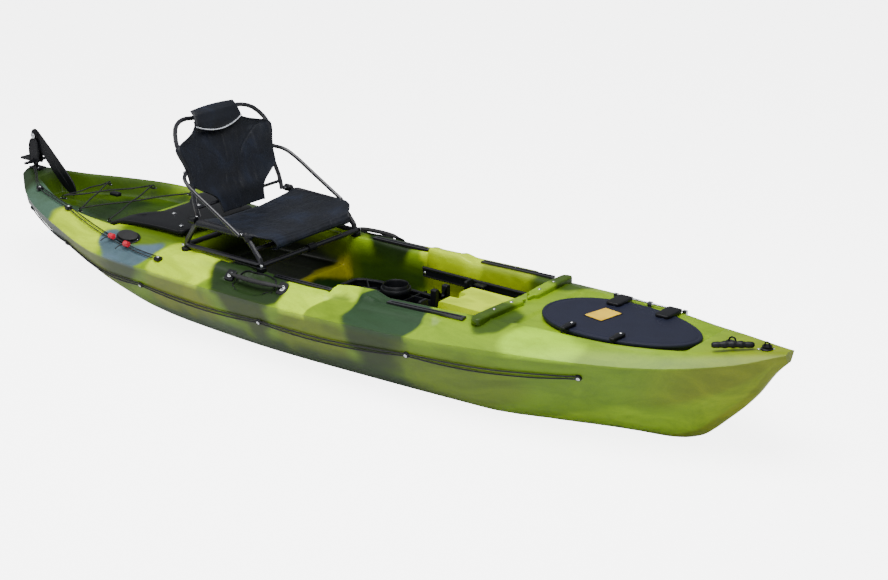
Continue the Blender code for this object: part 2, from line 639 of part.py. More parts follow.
def make_seat_struts():
    """The two struts that hold the back, pinned to its frame, and the hinge pins of the back."""
    for side, word in ((-1, "starboard"), (1, "port")):
        top = Vector((STRUT_TOP[0], side * STRUT_Y, STRUT_TOP[1]))
        foot = Vector((STRUT_FOOT[0], side * STRUT_Y, STRUT_FOOT[1]))
        strut = rod("seat_strut_" + word, foot, top, .0080, FRAME, 10)
        inner = Vector((top.x, side * .243, top.z))
        join(strut, rod("strut_pin", inner, top, .0050, FRAME, 8))
        turned_about(strut, top)
        hinge = Vector((BACK_HINGE[0], 0, BACK_HINGE[1]))
        rod("seat_hinge_pin_" + word, hinge + Vector((0, side * .2458, 0)), hinge + Vector((0, side * .2586, 0)),
            .0060, STEEL, 10)


# ---------------------------------------------------------------- rudder
def make_rudder():
    """Bracket on the stern, head on a steering pin, and the blade folded forward over the deck."""
    deck = float(deck_height(STEER_X, 0)) + .0035
    bracket = box("rudder_bracket", (STEER_X - .022, -.022, deck), (STEER_X + .040, .022, deck + .006), FITTING, bevel=.001)
    join(bracket, rod("bearing", (STEER_X, 0, deck), (STEER_X, 0, deck + .020), .011, FITTING, 14))
    cut(bracket, rod("pin_hole", (STEER_X, 0, deck + .003), (STEER_X, 0, deck + .05), .0052, FITTING, 12))
    rod("rudder_steer_pin", (STEER_X, 0, deck + .0035), (STEER_X, 0, deck + .046), .0047, STEEL, 12)
    base = deck + .0210
    head = rod("rudder_head", (STEER_X, 0, base), (STEER_X, 0, base + .030), .015, FITTING, 14)
    for side in (-1, 1):
        cheek = [(-.024, .018), (-.024, .095), (-.012, .126), (.010, .134), (.030, .118), (.036, .06), (.030, .018)]
        stand = Matrix.Translation((STEER_X, side * .0115 + .0025, base - .018)) @ Matrix.Rotation(math.radians(90), 4, 'X')
        join(head, plate("cheek", cheek, .005, FITTING, stand))
        low, high = sorted((side * .009, side * .015))
        join(head, box("fork_arm", (STEER_X - .085, low, base + .006), (STEER_X - .005, high, base + .022), FITTING))
    join(head, box("yoke", (STEER_X - .010, -.062, base + .004), (STEER_X + .012, .062, base + .012), FITTING))
    cut(head, rod("socket", (STEER_X, 0, base - .01), (STEER_X, 0, deck + .0465), .0052, FITTING, 12))
    cut(head, rod("blade_bore", (BLADE_PIN[0], -.05, BLADE_PIN[1]), (BLADE_PIN[0], .05, BLADE_PIN[1]), .0050, FITTING, 12))
    turned_about(head, (STEER_X, 0, base))
    rod("rudder_blade_bolt", (BLADE_PIN[0], -.019, BLADE_PIN[1]), (BLADE_PIN[0], .019, BLADE_PIN[1]), .0045, STEEL, 12)
    pin, tip = Vector(BLADE_PIN), Vector(BLADE_TIP)
    length = (tip - pin).length
    outline = [(-.022, -.012), (-.026, .010), (-.012, .026), (.03, .030), (.12, .034), (.24, .036), (length - .03, .026),
               (length, 0), (length - .02, -.020), (.24, -.034), (.12, -.032), (.03, -.024), (-.010, -.022)]
    angle = math.atan2(tip.y - pin.y, tip.x - pin.x)
    stand = (Matrix.Translation((pin.x, .0035, pin.y)) @ Matrix.Rotation(-angle, 4, 'Y')
             @ Matrix.Rotation(math.radians(90), 4, 'X'))
    blade = plate("rudder_blade", outline, .007, FITTING, stand)
    cut(blade, rod("blade_hole", (pin.x, -.05, pin.y), (pin.x, .05, pin.y), .0050, FITTING, 12))
    turned_about(blade, (pin.x, 0, pin.y))


# ---------------------------------------------------------------- lines and small fittings
def on_side(x, drop, out):
    """A point on the hull's side, drop metres under the sheer and out metres off the surface."""
    beam, sheer, keel = (float(curve(t, x)) for t in (HALF_BEAM, SHEER, KEEL))
    full = float(curve(FULLNESS, x))
    flat = float(curve(FLAT_STRIP, x))
    share = max(1 - drop / (sheer - keel), 0) ** (1 / full)
    return x, flat + (beam - flat) * share + out, sheer - drop


LINE_CLIPS = [(-1.74, .105), (-1.30, .075), (-.76, .082), (-.12, .082), (.55, .070), (1.205, .058)]


def safety_route(side):
    """The double safety line: down the clips and back, sagging between them, a strand apart."""
    out, back = [], []
    for (x0, d0), (x1, d1) in zip(LINE_CLIPS, LINE_CLIPS[1:]):
        for step in range(4):
            t = step / 4
            x = x0 + (x1 - x0) * t
            drop = d0 + (d1 - d0) * t + .016 * math.sin(math.pi * t)
            for strand, shift in ((out, -.006), (back, .006)):
                px, py, pz = on_side(x, drop + shift, .0055)
                strand.append((px, side * py, pz))
    x, drop = LINE_CLIPS[-1]
    for strand, shift in ((out, -.005), (back, .005)):
        px, py, pz = on_side(x, drop + shift, .0055)
        strand.append((px, side * py, pz))
    px, py, pz = on_side(x + .008, drop, .0055)
    return out + [(px, side * py, pz)] + back[::-1]


HOIST_ROUTE = [(-.690, .372, .0085), (-.80, .366, .0075), (-.92, .352, .0075), (-1.06, .327, .0075), (-1.20, .290, .0075),
               (-1.31, .252, .0075), (-1.45, .205, .0075), (-1.60, .148, .0075)]


def hoist_point(x, y, lift):
    return Vector((x, -y, float(deck_height(x, y)) + lift))


def make_lines():
    """Safety lines, the rudder's hoist line with its toggles and eyes, and the tankwell bungee."""
    for side, word in ((-1, "starboard"), (1, "port")):
        tube("safety_line_" + word, safety_route(side), .0024, CORD, resolution=1)
    outer = [hoist_point(x, y + .005, lift) for x, y, lift in HOIST_ROUTE]
    inner = [hoist_point(x, y - .005, lift) for x, y, lift in HOIST_ROUTE]
    turn = hoist_point(-1.612, .143, .0085)
    rise = [Vector((-1.70, -.085, .372)), Vector((-1.768, -.036, .382))]
    ends = [Vector(p) + Vector((0, -.004, 0)) for p in rise]
    starts = [Vector(p) + Vector((0, .004, .002)) for p in rise]
    route = starts[::-1] + [turn + Vector((0, .004, .003))] + inner[::-1] + outer + [turn + Vector((0, -.004, .003))] + ends
    tube("rudder_hoist_line", route, .0018, CORD, resolution=1)
    for name, x, y in (("hoist_toggle_up", -.860, .3680), ("hoist_toggle_down", -.955, .3550)):
        centre = hoist_point(x, y, .0235)
        knob = rod(name, centre + Vector((-.013, 0, 0)), centre + Vector((.013, 0, 0)), .0115, RED, 12)
        turned_about(knob, centre)
    eyes = (("line_eye_fore", -.672, .374), ("line_eye_mid", -1.316, .268), ("line_eye_aft", -1.622, .164))
    for name, x, y in eyes:
        base = hoist_point(x, y, .0045)
        box(name, base + Vector((-.012, -.007, 0)), base + Vector((.012, .007, .008)), FITTING, bevel=.001)
    hooks = [(-1.10, .226), (-1.30, -.200), (-1.485, .125), (-1.485, -.125), (-1.30, .200), (-1.10, -.226)]
    eyes_z = TANK_FLOOR + .062
    tube("tankwell_bungee", smooth_path([(x, y, eyes_z) for x, y in hooks], 1), .0028, CORD, resolution=1)
    box("bungee_lock", (-1.335, -.014, eyes_z + .0045), (-1.285, .014, eyes_z + .020), FITTING, bevel=.003)


def make_drain_plug():
    """The screw plug in the stern that lets the hull drain."""
    plug = rod("drain_plug", (STERN - .0100, 0, .24), (STERN - .0035, 0, .24), .016, FITTING, 14)
    join(plug, rod("thread", (STERN + .012, 0, .24), (STERN - .006, 0, .24), .0095, FITTING, 12))
    turned_about(plug, (STERN, 0, .24))


make_hull()
make_rod_holders()
make_front_hatch()
make_gear_tracks()
make_foot_controls()
make_console()
make_rear_cover()
make_handles()
make_seat_base()
make_seat_sling()
make_seat_back()
make_seat_struts()
make_rudder()
make_lines()
make_drain_plug()
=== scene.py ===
"""Looks of a sit-on-top fishing kayak: the marbled hull, slung seat, rudder, hatch, lines and fittings.

Bow +X, port +Y, up +Z, in metres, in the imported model's own frame.
"""
import json
import math

import bpy
import numpy as np
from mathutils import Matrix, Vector


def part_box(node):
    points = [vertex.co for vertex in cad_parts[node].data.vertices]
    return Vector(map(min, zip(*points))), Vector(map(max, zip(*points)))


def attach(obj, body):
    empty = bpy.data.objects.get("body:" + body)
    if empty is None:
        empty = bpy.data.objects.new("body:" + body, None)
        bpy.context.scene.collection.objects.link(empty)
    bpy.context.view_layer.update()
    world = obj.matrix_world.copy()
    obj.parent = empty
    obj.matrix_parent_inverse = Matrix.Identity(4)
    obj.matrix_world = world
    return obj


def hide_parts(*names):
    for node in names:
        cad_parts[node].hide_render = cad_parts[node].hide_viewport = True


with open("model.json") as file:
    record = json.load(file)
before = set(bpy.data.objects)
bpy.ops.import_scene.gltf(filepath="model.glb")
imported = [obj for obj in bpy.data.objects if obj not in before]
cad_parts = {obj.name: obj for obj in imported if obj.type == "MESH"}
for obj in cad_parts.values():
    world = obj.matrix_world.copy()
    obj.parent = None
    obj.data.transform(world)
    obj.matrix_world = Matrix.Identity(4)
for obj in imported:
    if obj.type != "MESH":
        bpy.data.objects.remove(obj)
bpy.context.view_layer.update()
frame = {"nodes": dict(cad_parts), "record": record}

# ---------------------------------------------------------------- sizes shared with the CAD model
BOW, STERN = 1.825, -1.825
HALF_BEAM = [(-1.825, .055), (-1.68, .164), (-1.387, .299), (-.912, .420), (-.18, .437),
             (.438, .407), (.985, .356), (1.387, .251), (1.679, .124), (1.825, .030)]
SHEER = [(-1.825, .346), (-1.68, .310), (-1.387, .286), (-.912, .253), (-.18, .253),
         (.438, .261), (.985, .292), (1.387, .310), (1.679, .350), (1.825, .391)]
GUNWALE = [(-1.825, .366), (-1.6, .345), (-1.3, .335), (-1.0, .325), (-.65, .313), (-.2, .302),
           (0.0, .302), (.25, .315), (.5, .327), (.75, .335), (1.05, .343), (1.4, .352),
           (1.65, .376), (1.825, .397)]
INNER_EDGE = [(-1.825, .018), (-1.66, .09), (-1.45, .19), (-1.2, .262), (-1.0, .27), (-.85, .25),
              (-.66, .238), (-.3, .250), (-.1, .272), (.1, .272), (.2, .247), (.64, .232),
              (.74, .222), (.9, .212), (1.2, .20), (1.5, .13), (1.825, .008)]
KEEL = [(-1.825, .20), (-1.57, .131), (-1.27, .064), (-1.0, .018), (-.8, 0), (1.40, 0), (1.45, .004),
        (1.52, .024), (1.618, .107), (1.719, .217), (1.783, .312), (1.825, .358)]
FLAT_STRIP = [(-1.825, .025), (-1.2, .05), (1.0, .06), (1.35, .03), (1.6, .012), (1.825, .010)]
FULLNESS = [(-1.825, 2.2), (-1.3, 2.5), (-1.0, 3.0), (-.6, 5.0), (-.1, 6.0), (.8, 5.8), (1.05, 3.5),
            (1.25, 2.4), (1.43, 1.9), (1.6, 1.5), (1.825, 1.2)]
COCKPIT, TANKWELL, HATCH_WELL = (-.69, .735), (-1.725, -1.03), (.87, 1.515)
SEAT_FLOOR, FOOT_FLOOR, TANK_FLOOR, WELL_FLOOR = .19, .115, .265, .330
RISER_X = -.248
BLOCK, BLOCK_HALF, BLOCK_TOP = (.455, .735), .104, .292
BACK_HINGE, BACK_LEAN = (-.590, .437), math.radians(16.4)
BACK_BEND = [(-.02, 0), (.20, 0), (.262, -.003), (.300, -.012), (.345, -.030), (.366, -.044), (.402, -.056)]
HATCH_X, HATCH_HALF_LENGTH, HATCH_HALF_WIDTH = 1.187, .304, .180
ROD_HOLDER, ROD_LEAN = (-.905, .312), math.radians(24)
LINE_CLIPS = [(-1.74, .105), (-1.30, .075), (-.76, .082), (-.12, .082), (.55, .070), (1.205, .058)]
HOIST_ROUTE = [(-.690, .372), (-.80, .366), (-.92, .352), (-1.06, .327), (-1.20, .290), (-1.31, .252),
               (-1.45, .205), (-1.60, .148)]
BUNGEE_HOOKS = [(-1.10, .226), (-1.30, -.200), (-1.485, .125), (-1.485, -.125), (-1.30, .200), (-1.10, -.226)]


# ---------------------------------------------------------------- formulas
def curve(points, x):
    """Monotone cubic through (place, value) points: each inner slope is the weighted harmonic
    mean of the two secants beside it, and zero where they differ in sign."""
    places, values = np.array(points, float).T
    step = np.diff(places)
    secant = np.diff(values) / step
    slope = np.zeros_like(places)
    same = secant[:-1] * secant[1:] > 0
    before = (2 * step[1:] + step[:-1])[same]
    after = (step[1:] + 2 * step[:-1])[same]
    slope[1:-1][same] = (before + after) / (before / secant[:-1][same] + after / secant[1:][same])
    slope[0], slope[-1] = secant[0], secant[-1]
    x = np.clip(x, places[0], places[-1])
    i = np.clip(np.searchsorted(places, x) - 1, 0, len(places) - 2)
    t = (x - places[i]) / step[i]
    return ((1 + 2 * t) * (1 - t) ** 2 * values[i] + t * (1 - t) ** 2 * step[i] * slope[i]
            + t * t * (3 - 2 * t) * values[i + 1] - t * t * (1 - t) * step[i] * slope[i + 1])


def smooth(value, low, high):
    """0 below low, 1 above high, and the cubic 3t^2 - 2t^3 between."""
    t = np.clip((value - low) / (high - low), 0, 1)
    return t * t * (3 - 2 * t)


def between(x, ends, soft):
    """1 between the two ends and 0 outside them, with smooth shoulders soft metres wide."""
    return np.minimum(smooth(x, ends[0], ends[0] + soft), smooth(-x, -ends[1], -ends[1] + soft))


def mottle(places, size, seed):
    """Value noise, -1 to 1: random numbers on a lattice of the given cell size, blended by smoothstep."""
    lattice = np.random.default_rng(seed).uniform(-1, 1, (24, 24, 24))
    cell = np.asarray(places) / size
    base = np.floor(cell).astype(int)
    t = cell - base
    t = t * t * (3 - 2 * t)
    total = 0
    for corner in range(8):
        step = np.array([corner & 1, corner >> 1 & 1, corner >> 2 & 1])
        index = (base + step) % 24
        weight = np.prod(np.where(step, t, 1 - t), -1)
        total = total + weight * lattice[index[..., 0], index[..., 1], index[..., 2]]
    return total


def deck(x, y):
    """Height of the deck: the CAD model's convex gunwale and wells, with rounded edges, and on it
    the coaming beside the seat, the ridges outboard of the tracks, the shoulders, the handle
    recesses and the moulded details that are too fine for the CAD shell."""
    x, y = np.asarray(x, float), np.abs(np.asarray(y, float))
    beam, sheer, top, edge = (curve(table, x) for table in (HALF_BEAM, SHEER, GUNWALE, INNER_EDGE))
    across = np.clip((beam - y) / np.maximum(beam - edge, .004), 0, 1)
    height = sheer + (top - sheer) * (1 - (1 - across) ** 1.7)
    # the coaming beside the seat, and the shoulder that starts abruptly ahead of the aft track
    coaming = (smooth(x, -.60, -.52) * smooth(-x, .235, .262) * smooth(y, .284, .292)
               * smooth(-y, -.342, -.318))
    shoulder = smooth(x, .132, .142) * smooth(-x, -.37, -.29) * smooth(-y, -(edge + .075), -(edge + .045))
    ridge = between(x, (-.262, .150), .022) * smooth(y, .299, .307) * smooth(-y, -.350, -.328)
    fore_ridge = (between(x, (.262, .640), .03) * smooth(y, edge + .050, edge + .060)
                  * smooth(-y, -(edge + .105), -(edge + .080)))
    height = height + .017 * coaming + .022 * shoulder * (1 - ridge) + .012 * ridge + .013 * fore_ridge
    # the flush recess round each carrying handle: a rounded slot with an oval belly
    along = (x + .1935) / .152
    belly = np.clip(1 - ((x + .1935) / .082) ** 2, 0, 1) ** .5
    half = .019 + .030 * belly
    recess = smooth(1 - np.abs(along) ** 6, 0, .35) * smooth(half - np.abs(y - .362), 0, .007)
    height = height - .0095 * recess
    # a drip moulding just outboard of the inner edge, and the dished well at the bow's tip
    height = height + .0025 * np.exp(-((y - edge - .010) / .006) ** 2) * between(x, (-.66, 1.45), .05)
    dish = smooth(1 - np.hypot((x - 1.742) / .048, y / .030), 0, .25)
    height = height - .004 * dish
    # wells
    inboard = smooth(edge - y, -.001, .034)
    foot = SEAT_FLOOR + (FOOT_FLOOR - SEAT_FLOOR) * smooth(x, RISER_X - .014, RISER_X + .014)
    block = smooth(x, BLOCK[0] - .014, BLOCK[0] + .014) * smooth(BLOCK_HALF + .009 - y, -.002, .018)
    notch = smooth(-x, -.505, -.475) * smooth(.030 - y, 0, .016)
    foot = foot + (BLOCK_TOP - .075 * notch - foot) * block
    ribs = .0020 * np.clip(np.cos(y * 2 * math.pi / .055), 0, 1) ** 2 * between(x, (-.60, -.30), .03)
    foot = foot + ribs * smooth(.2 - y, 0, .02)
    tank = (TANK_FLOOR + .004 * np.clip(np.cos(y * 2 * math.pi / .07), 0, 1) ** 3
            * between(x, (-1.6, -1.10), .05))
    for ends, floor, soft in ((COCKPIT, foot, .032), (TANKWELL, tank, .036), (HATCH_WELL, WELL_FLOOR, .024)):
        down = np.minimum(between(x, ends, soft), inboard)
        height = height + (np.minimum(floor, height) - height) * down
    # the hold under the front hatch
    round_x, round_y = (x - HATCH_X) / (HATCH_HALF_LENGTH - .047), y / (HATCH_HALF_WIDTH - .047)
    hold = smooth(1 - np.hypot(round_x, round_y), 0, .07)
    height = height + (.055 - height) * hold * (x > .9)
    return height


def deck_normal(x, y):
    """The deck's unit normal by central differences 4 mm either way."""
    step = .004
    slope_x = (deck(x + step, y) - deck(x - step, y)) / (2 * step)
    slope_y = (deck(x, y + step) - deck(x, y - step)) / (2 * step)
    normal = np.stack([-slope_x, -slope_y, np.ones_like(slope_x)], -1)
    return normal / np.linalg.norm(normal, axis=-1, keepdims=True)


def hull_side(x, share):
    """A point of the topsides: share 0 at the edge of the flat keel strip and 1 at the sheer."""
    beam, sheer, keel, flat, full = (curve(t, x) for t in (HALF_BEAM, SHEER, KEEL, FLAT_STRIP, FULLNESS))
    return flat + (beam - flat) * share, keel + (sheer - keel) * share ** full


def on_side(x, drop, out):
    """A point on the topsides, drop metres under the sheer and out metres off the surface."""
    beam, sheer, keel, flat, full = (curve(t, x) for t in (HALF_BEAM, SHEER, KEEL, FLAT_STRIP, FULLNESS))
    share = np.maximum(1 - drop / (sheer - keel), 0) ** (1 / full)
    return np.stack([x, flat + (beam - flat) * share + out, sheer - drop], -1)


def back_point(along, y, out):
    """A point by the seat's back: along it from its hinge, across, and out in front of it."""
    x = BACK_HINGE[0] - math.sin(BACK_LEAN) * along + math.cos(BACK_LEAN) * out
    z = BACK_HINGE[1] + math.cos(BACK_LEAN) * along + math.sin(BACK_LEAN) * out
    return np.stack(np.broadcast_arrays(x, y, z), -1)


# ---------------------------------------------------------------- mesh helpers
def piece(name, points, quads, material, body, replaces=(), angle=40):
    """A mesh object from arrays of points and faces, smooth except at edges sharper than the angle."""
    mesh = bpy.data.meshes.new(name)
    mesh.from_pydata(points.reshape(-1, 3).tolist(), [], quads)
    mesh.shade_smooth()
    mesh.set_sharp_from_angle(angle=math.radians(angle))
    obj = bpy.data.objects.new(name, mesh)
    bpy.context.scene.collection.objects.link(obj)
    mesh.materials.append(material)
    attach(obj, body)
    if replaces:
        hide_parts(*replaces)
    return obj


def net(rows, columns, wrap_rows=False, wrap_columns=False, start=0):
    """Quads of a grid of rows by columns of points, closed on itself where it wraps."""
    index = start + np.arange(rows * columns).reshape(rows, columns)
    if wrap_rows:
        index = np.vstack([index, index[:1]])
    if wrap_columns:
        index = np.hstack([index, index[:, :1]])
    return np.stack([index[:-1, :-1], index[1:, :-1], index[1:, 1:], index[:-1, 1:]], -1).reshape(-1, 4)


def route(points, count, closed=False):
    """A Catmull-Rom curve through the points, then count points evenly spaced by arc length."""
    p = np.asarray(points, float)
    p = np.vstack([p[-1:], p, p[:2]]) if closed else np.vstack([2 * p[:1] - p[1:2], p, 2 * p[-1:] - p[-2:-1]])
    t = np.linspace(0, 1, 16, endpoint=False)[None, :, None]
    a, b, c, d = (p[i:len(p) - 3 + i, None] for i in range(4))
    fine = .5 * (2 * b + (c - a) * t + (2 * a - 5 * b + 4 * c - d) * t * t + (3 * b - a - 3 * c + d) * t ** 3)
    fine = np.vstack([fine.reshape(-1, 3), p[1:2] if closed else p[-2:-1]])
    length = np.concatenate([[0], np.cumsum(np.linalg.norm(np.diff(fine, axis=0), axis=1))])
    places = np.linspace(0, length[-1], count, endpoint=not closed)
    return np.stack([np.interp(places, length, fine[:, k]) for k in range(3)], -1)


def carried(path, profile, up, closed=False):
    """A profile of (side, up) points, one for all or one per station, carried along a path. At each
    station side = up x tangent, and the true up is the tangent x side."""
    if closed:
        tangent = np.roll(path, -1, 0) - np.roll(path, 1, 0)
    else:
        tangent = np.gradient(path, axis=0)
    tangent /= np.linalg.norm(tangent, axis=1, keepdims=True)
    side = np.cross(np.broadcast_to(up, path.shape), tangent)
    side /= np.linalg.norm(side, axis=1, keepdims=True)
    over = np.cross(tangent, side)
    profile = np.broadcast_to(profile, (len(path),) + np.shape(profile)[-2:])
    return path[:, None] + side[:, None] * profile[..., :1] + over[:, None] * profile[..., 1:]


def disc(radius, count=12, tall=1.0):
    """A circle, or an oval tall times as high, as (side, up) points, anticlockwise."""
    angle = np.linspace(0, 2 * math.pi, count, endpoint=False)
    return np.stack([radius * np.cos(angle), radius * tall * np.sin(angle)], -1)


def bar(name, path, profile, up, material, body, closed=False, replaces=(), angle=40):
    """A bar, cord or strap: a profile carried along a path, with a dome of three rings on each end."""
    profile = np.asarray(profile, float)
    if closed:
        points = carried(path, profile, up, closed=True)
        quads = net(*points.shape[:2], wrap_rows=True, wrap_columns=True)
        return piece(name, points, quads.tolist(), material, body, replaces, angle)
    half = np.abs(profile[..., 1]).max()
    start, end = path[0] - path[1], path[-1] - path[-2]
    start, end = start / np.linalg.norm(start), end / np.linalg.norm(end)
    if profile.ndim == 2:
        profile = np.broadcast_to(profile, (len(path),) + profile.shape)
    sink = np.array([.5, .87, .97])
    rise = np.sqrt(1 - sink ** 2) * half * .9
    path = np.vstack([path[0] + start * rise[:, None], path, path[-1] + end * rise[::-1, None]])
    profile = np.concatenate([profile[:1] * sink[:, None, None], profile,
                              profile[-1:] * sink[::-1, None, None]])
    points = carried(path, profile, up)
    rows, columns = points.shape[:2]
    quads = net(rows, columns, wrap_columns=True).tolist()
    quads += [list(range(columns)), list(range((rows - 1) * columns, rows * columns))[::-1]]
    return piece(name, points, quads, material, body, replaces, angle)


def turned(name, places, normals, profile, material, body, sides=16, replaces=(), angle=40,
           hexed=False):
    """Small turned pieces, one at each place: a profile of (radius, height) rings about its normal."""
    places, normals = np.atleast_2d(places).astype(float), np.atleast_2d(normals).astype(float)
    normals = normals / np.linalg.norm(normals, axis=1, keepdims=True)
    guide = np.where(np.abs(normals[:, 2:]) > .9, [[1., 0, 0]], [[0, 0, 1.]])
    side = np.cross(guide, normals)
    side /= np.linalg.norm(side, axis=1, keepdims=True)
    over = np.cross(normals, side)
    angle_round = np.linspace(0, 2 * math.pi, sides, endpoint=False)
    ring = side[:, None] * np.cos(angle_round)[:, None] + over[:, None] * np.sin(angle_round)[:, None]
    radius, height = np.array(profile, float).T
    points = (places[:, None, None] + ring[:, None] * radius[None, :, None, None]
              + normals[:, None, None] * height[None, :, None, None])
    count, rows = len(places), len(profile)
    one = net(rows, sides, wrap_columns=True)[:, ::-1].tolist()
    one += [list(range(sides))[::-1], list(range((rows - 1) * sides, rows * sides))]
    quads = [[i + k * rows * sides for i in face] for k in range(count) for face in one]
    return piece(name, points, quads, material, body, replaces, angle)


def slab(name, outline, height, material, body, rounding=.003, replaces=(), place=None, angle=40,
         crown=0.0):
    """A moulded plate: an outline of (x, y) points drawn in at its edges in quarter rounds at top and
    bottom, its top crowned, then placed by a function of (x, y, z) arrays."""
    outline = np.asarray(outline, float)
    centre = outline.mean(0)
    step = np.roll(outline, -1, 0) - np.roll(outline, 1, 0)
    inward = np.stack([-step[:, 1], step[:, 0]], -1)
    inward /= np.linalg.norm(inward, axis=1, keepdims=True)
    if np.sum(inward * (centre - outline)) < 0:
        inward = -inward
    turn = np.linspace(0, math.pi / 2, 4)
    draw = rounding * (1 - np.sin(turn))
    lift = rounding * (1 - np.cos(turn))
    rings = [(d, h) for d, h in zip(draw, lift)] + [(d, height - h) for d, h in zip(draw[::-1], lift[::-1])]
    points = [np.column_stack([outline + inward * d, np.full(len(outline), h)]) for d, h in rings]
    flat = outline + inward * rounding
    for share in (.82, .6, .35):
        points.append(np.column_stack([centre + (flat - centre) * share,
                                       np.full(len(outline), height + crown * (1 - share ** 2))]))
    points = np.array(points)
    if place:
        points = place(points[..., 0], points[..., 1], points[..., 2])
    rows, columns = points.shape[:2]
    area = np.sum(outline[:, 0] * np.roll(outline[:, 1], -1) - outline[:, 1] * np.roll(outline[:, 0], -1))
    quads = net(rows, columns, wrap_columns=True)[:, ::-1].tolist()
    quads += [list(range(columns))[::-1], list(range((rows - 1) * columns, rows * columns))]
    if area < 0:
        quads = [face[::-1] for face in quads]
    return piece(name, points, quads, material, body, replaces, angle)


def rounded_outline(corners, radius, steps=5):
    """An outline with each corner cut by a quadratic arc of the given reach."""
    corners = np.asarray(corners, float)
    before = np.roll(corners, 1, 0) - corners
    after = np.roll(corners, -1, 0) - corners
    reach_b = np.minimum(radius, .45 * np.linalg.norm(before, axis=1))[:, None]
    reach_a = np.minimum(radius, .45 * np.linalg.norm(after, axis=1))[:, None]
    before = before / np.linalg.norm(before, axis=1, keepdims=True) * reach_b
    after = after / np.linalg.norm(after, axis=1, keepdims=True) * reach_a
    t = np.linspace(0, 1, steps)[None, :, None]
    arcs = corners[:, None] + before[:, None] * (1 - t) ** 2 + after[:, None] * t ** 2
    return arcs.reshape(-1, corners.shape[1])


# ---------------------------------------------------------------- materials
def colour(code):
    """An sRGB hex value as linear red, green, blue and alpha."""
    value = np.array([int(code[i:i + 2], 16) for i in (1, 3, 5)]) / 255
    linear = np.where(value <= .04045, value / 12.92, ((value + .055) / 1.055) ** 2.4)
    return (*linear.tolist(), 1.0)


def add(tree, kind, settings=None, links=None):
    """Adds a node, sets its properties and input values, and links its inputs to other outputs."""
    made = tree.nodes.new(kind)
    for key, value in (settings or {}).items():
        if isinstance(key, str) and hasattr(made, key):
            setattr(made, key, value)
        else:
            made.inputs[key].default_value = value
    for key, output in (links or {}).items():
        tree.links.new(output, made.inputs[key])
    return made


def ramp(made, stops):
    """Sets a Color Ramp's stops: (place, hex colour)."""
    band = made.color_ramp
    while len(band.elements) > 1:
        band.elements.remove(band.elements[-1])
    band.elements[0].position, band.elements[0].color = stops[0][0], colour(stops[0][1])
    for place, code in stops[1:]:
        band.elements.new(place).color = colour(code)
    return made


def new_material(name, slot, **values):
    """A material with a Principled shader set to the values, and its Object coordinates."""
    made = bpy.data.materials.new(name)
    made.use_nodes = True
    made["slot"] = slot
    tree = made.node_tree
    shader = tree.nodes["Principled BSDF"]
    for key, value in values.items():
        shader.inputs[key.replace("_", " ")].default_value = value
    coords = add(tree, "ShaderNodeTexCoord").outputs["Object"]
    return made, tree, shader, coords


def marbled_polyethylene():
    """Rotomoulded polyethylene, its coloured powders marbled in the mould: a waxy satin skin with a
    faint orange peel. The broad marbled colour, with painted shade under the seat, is the mesh's own
    attribute; wisps and specks are added."""
    made, tree, shader, coords = new_material("rotomoulded_marbled_polyethylene", "rotomoulded_polyethylene",
                                              IOR=1.45, Specular_IOR_Level=.30, Coat_Weight=.05,
                                              Coat_Roughness=.25)
    patch = add(tree, "ShaderNodeAttribute", {"attribute_name": "marbling_and_shade"}).outputs["Color"]
    stretch = add(tree, "ShaderNodeMapping", {"Scale": (.55, 1.2, 1.6)}, {"Vector": coords}).outputs[0]
    wisp = add(tree, "ShaderNodeTexNoise", {"Scale": 5.5, "Detail": 6.0, "Roughness": .62, "Distortion": 1.6},
               {"Vector": stretch}).outputs["Fac"]
    wisp_band = ramp(add(tree, "ShaderNodeValToRGB", links={"Fac": wisp}),
                     [(.34, "#7f8c50"), (.46, "#c4cca0"), (.58, "#ffffff")]).outputs[0]
    wisped = add(tree, "ShaderNodeMix", {"data_type": "RGBA", "blend_type": "MULTIPLY", 0: .38},
                 {6: patch, 7: wisp_band}).outputs[2]
    # powder grains, about 0.5 mm, drawn at 4 mm so that they show
    grain = add(tree, "ShaderNodeTexNoise", {"Scale": 240.0, "Detail": 2.0},
                {"Vector": coords}).outputs["Fac"]
    grain_band = ramp(add(tree, "ShaderNodeValToRGB", links={"Fac": grain}),
                      [(.30, "#e2e4dc"), (.62, "#ffffff")]).outputs[0]
    base = add(tree, "ShaderNodeMix", {"data_type": "RGBA", "blend_type": "MULTIPLY", 0: .55},
               {6: wisped, 7: grain_band}).outputs[2]
    tree.links.new(base, shader.inputs["Base Color"])
    rough = add(tree, "ShaderNodeMapRange", {"To Min": .36, "To Max": .50}, {"Value": wisp}).outputs[0]
    tree.links.new(rough, shader.inputs["Roughness"])
    peel = add(tree, "ShaderNodeTexNoise", {"Scale": 90.0, "Detail": 3.0}, {"Vector": coords}).outputs["Fac"]
    bump = add(tree, "ShaderNodeBump", {"Strength": .10, "Distance": .0012}, {"Height": peel}).outputs[0]
    tree.links.new(bump, shader.inputs["Normal"])
    return made


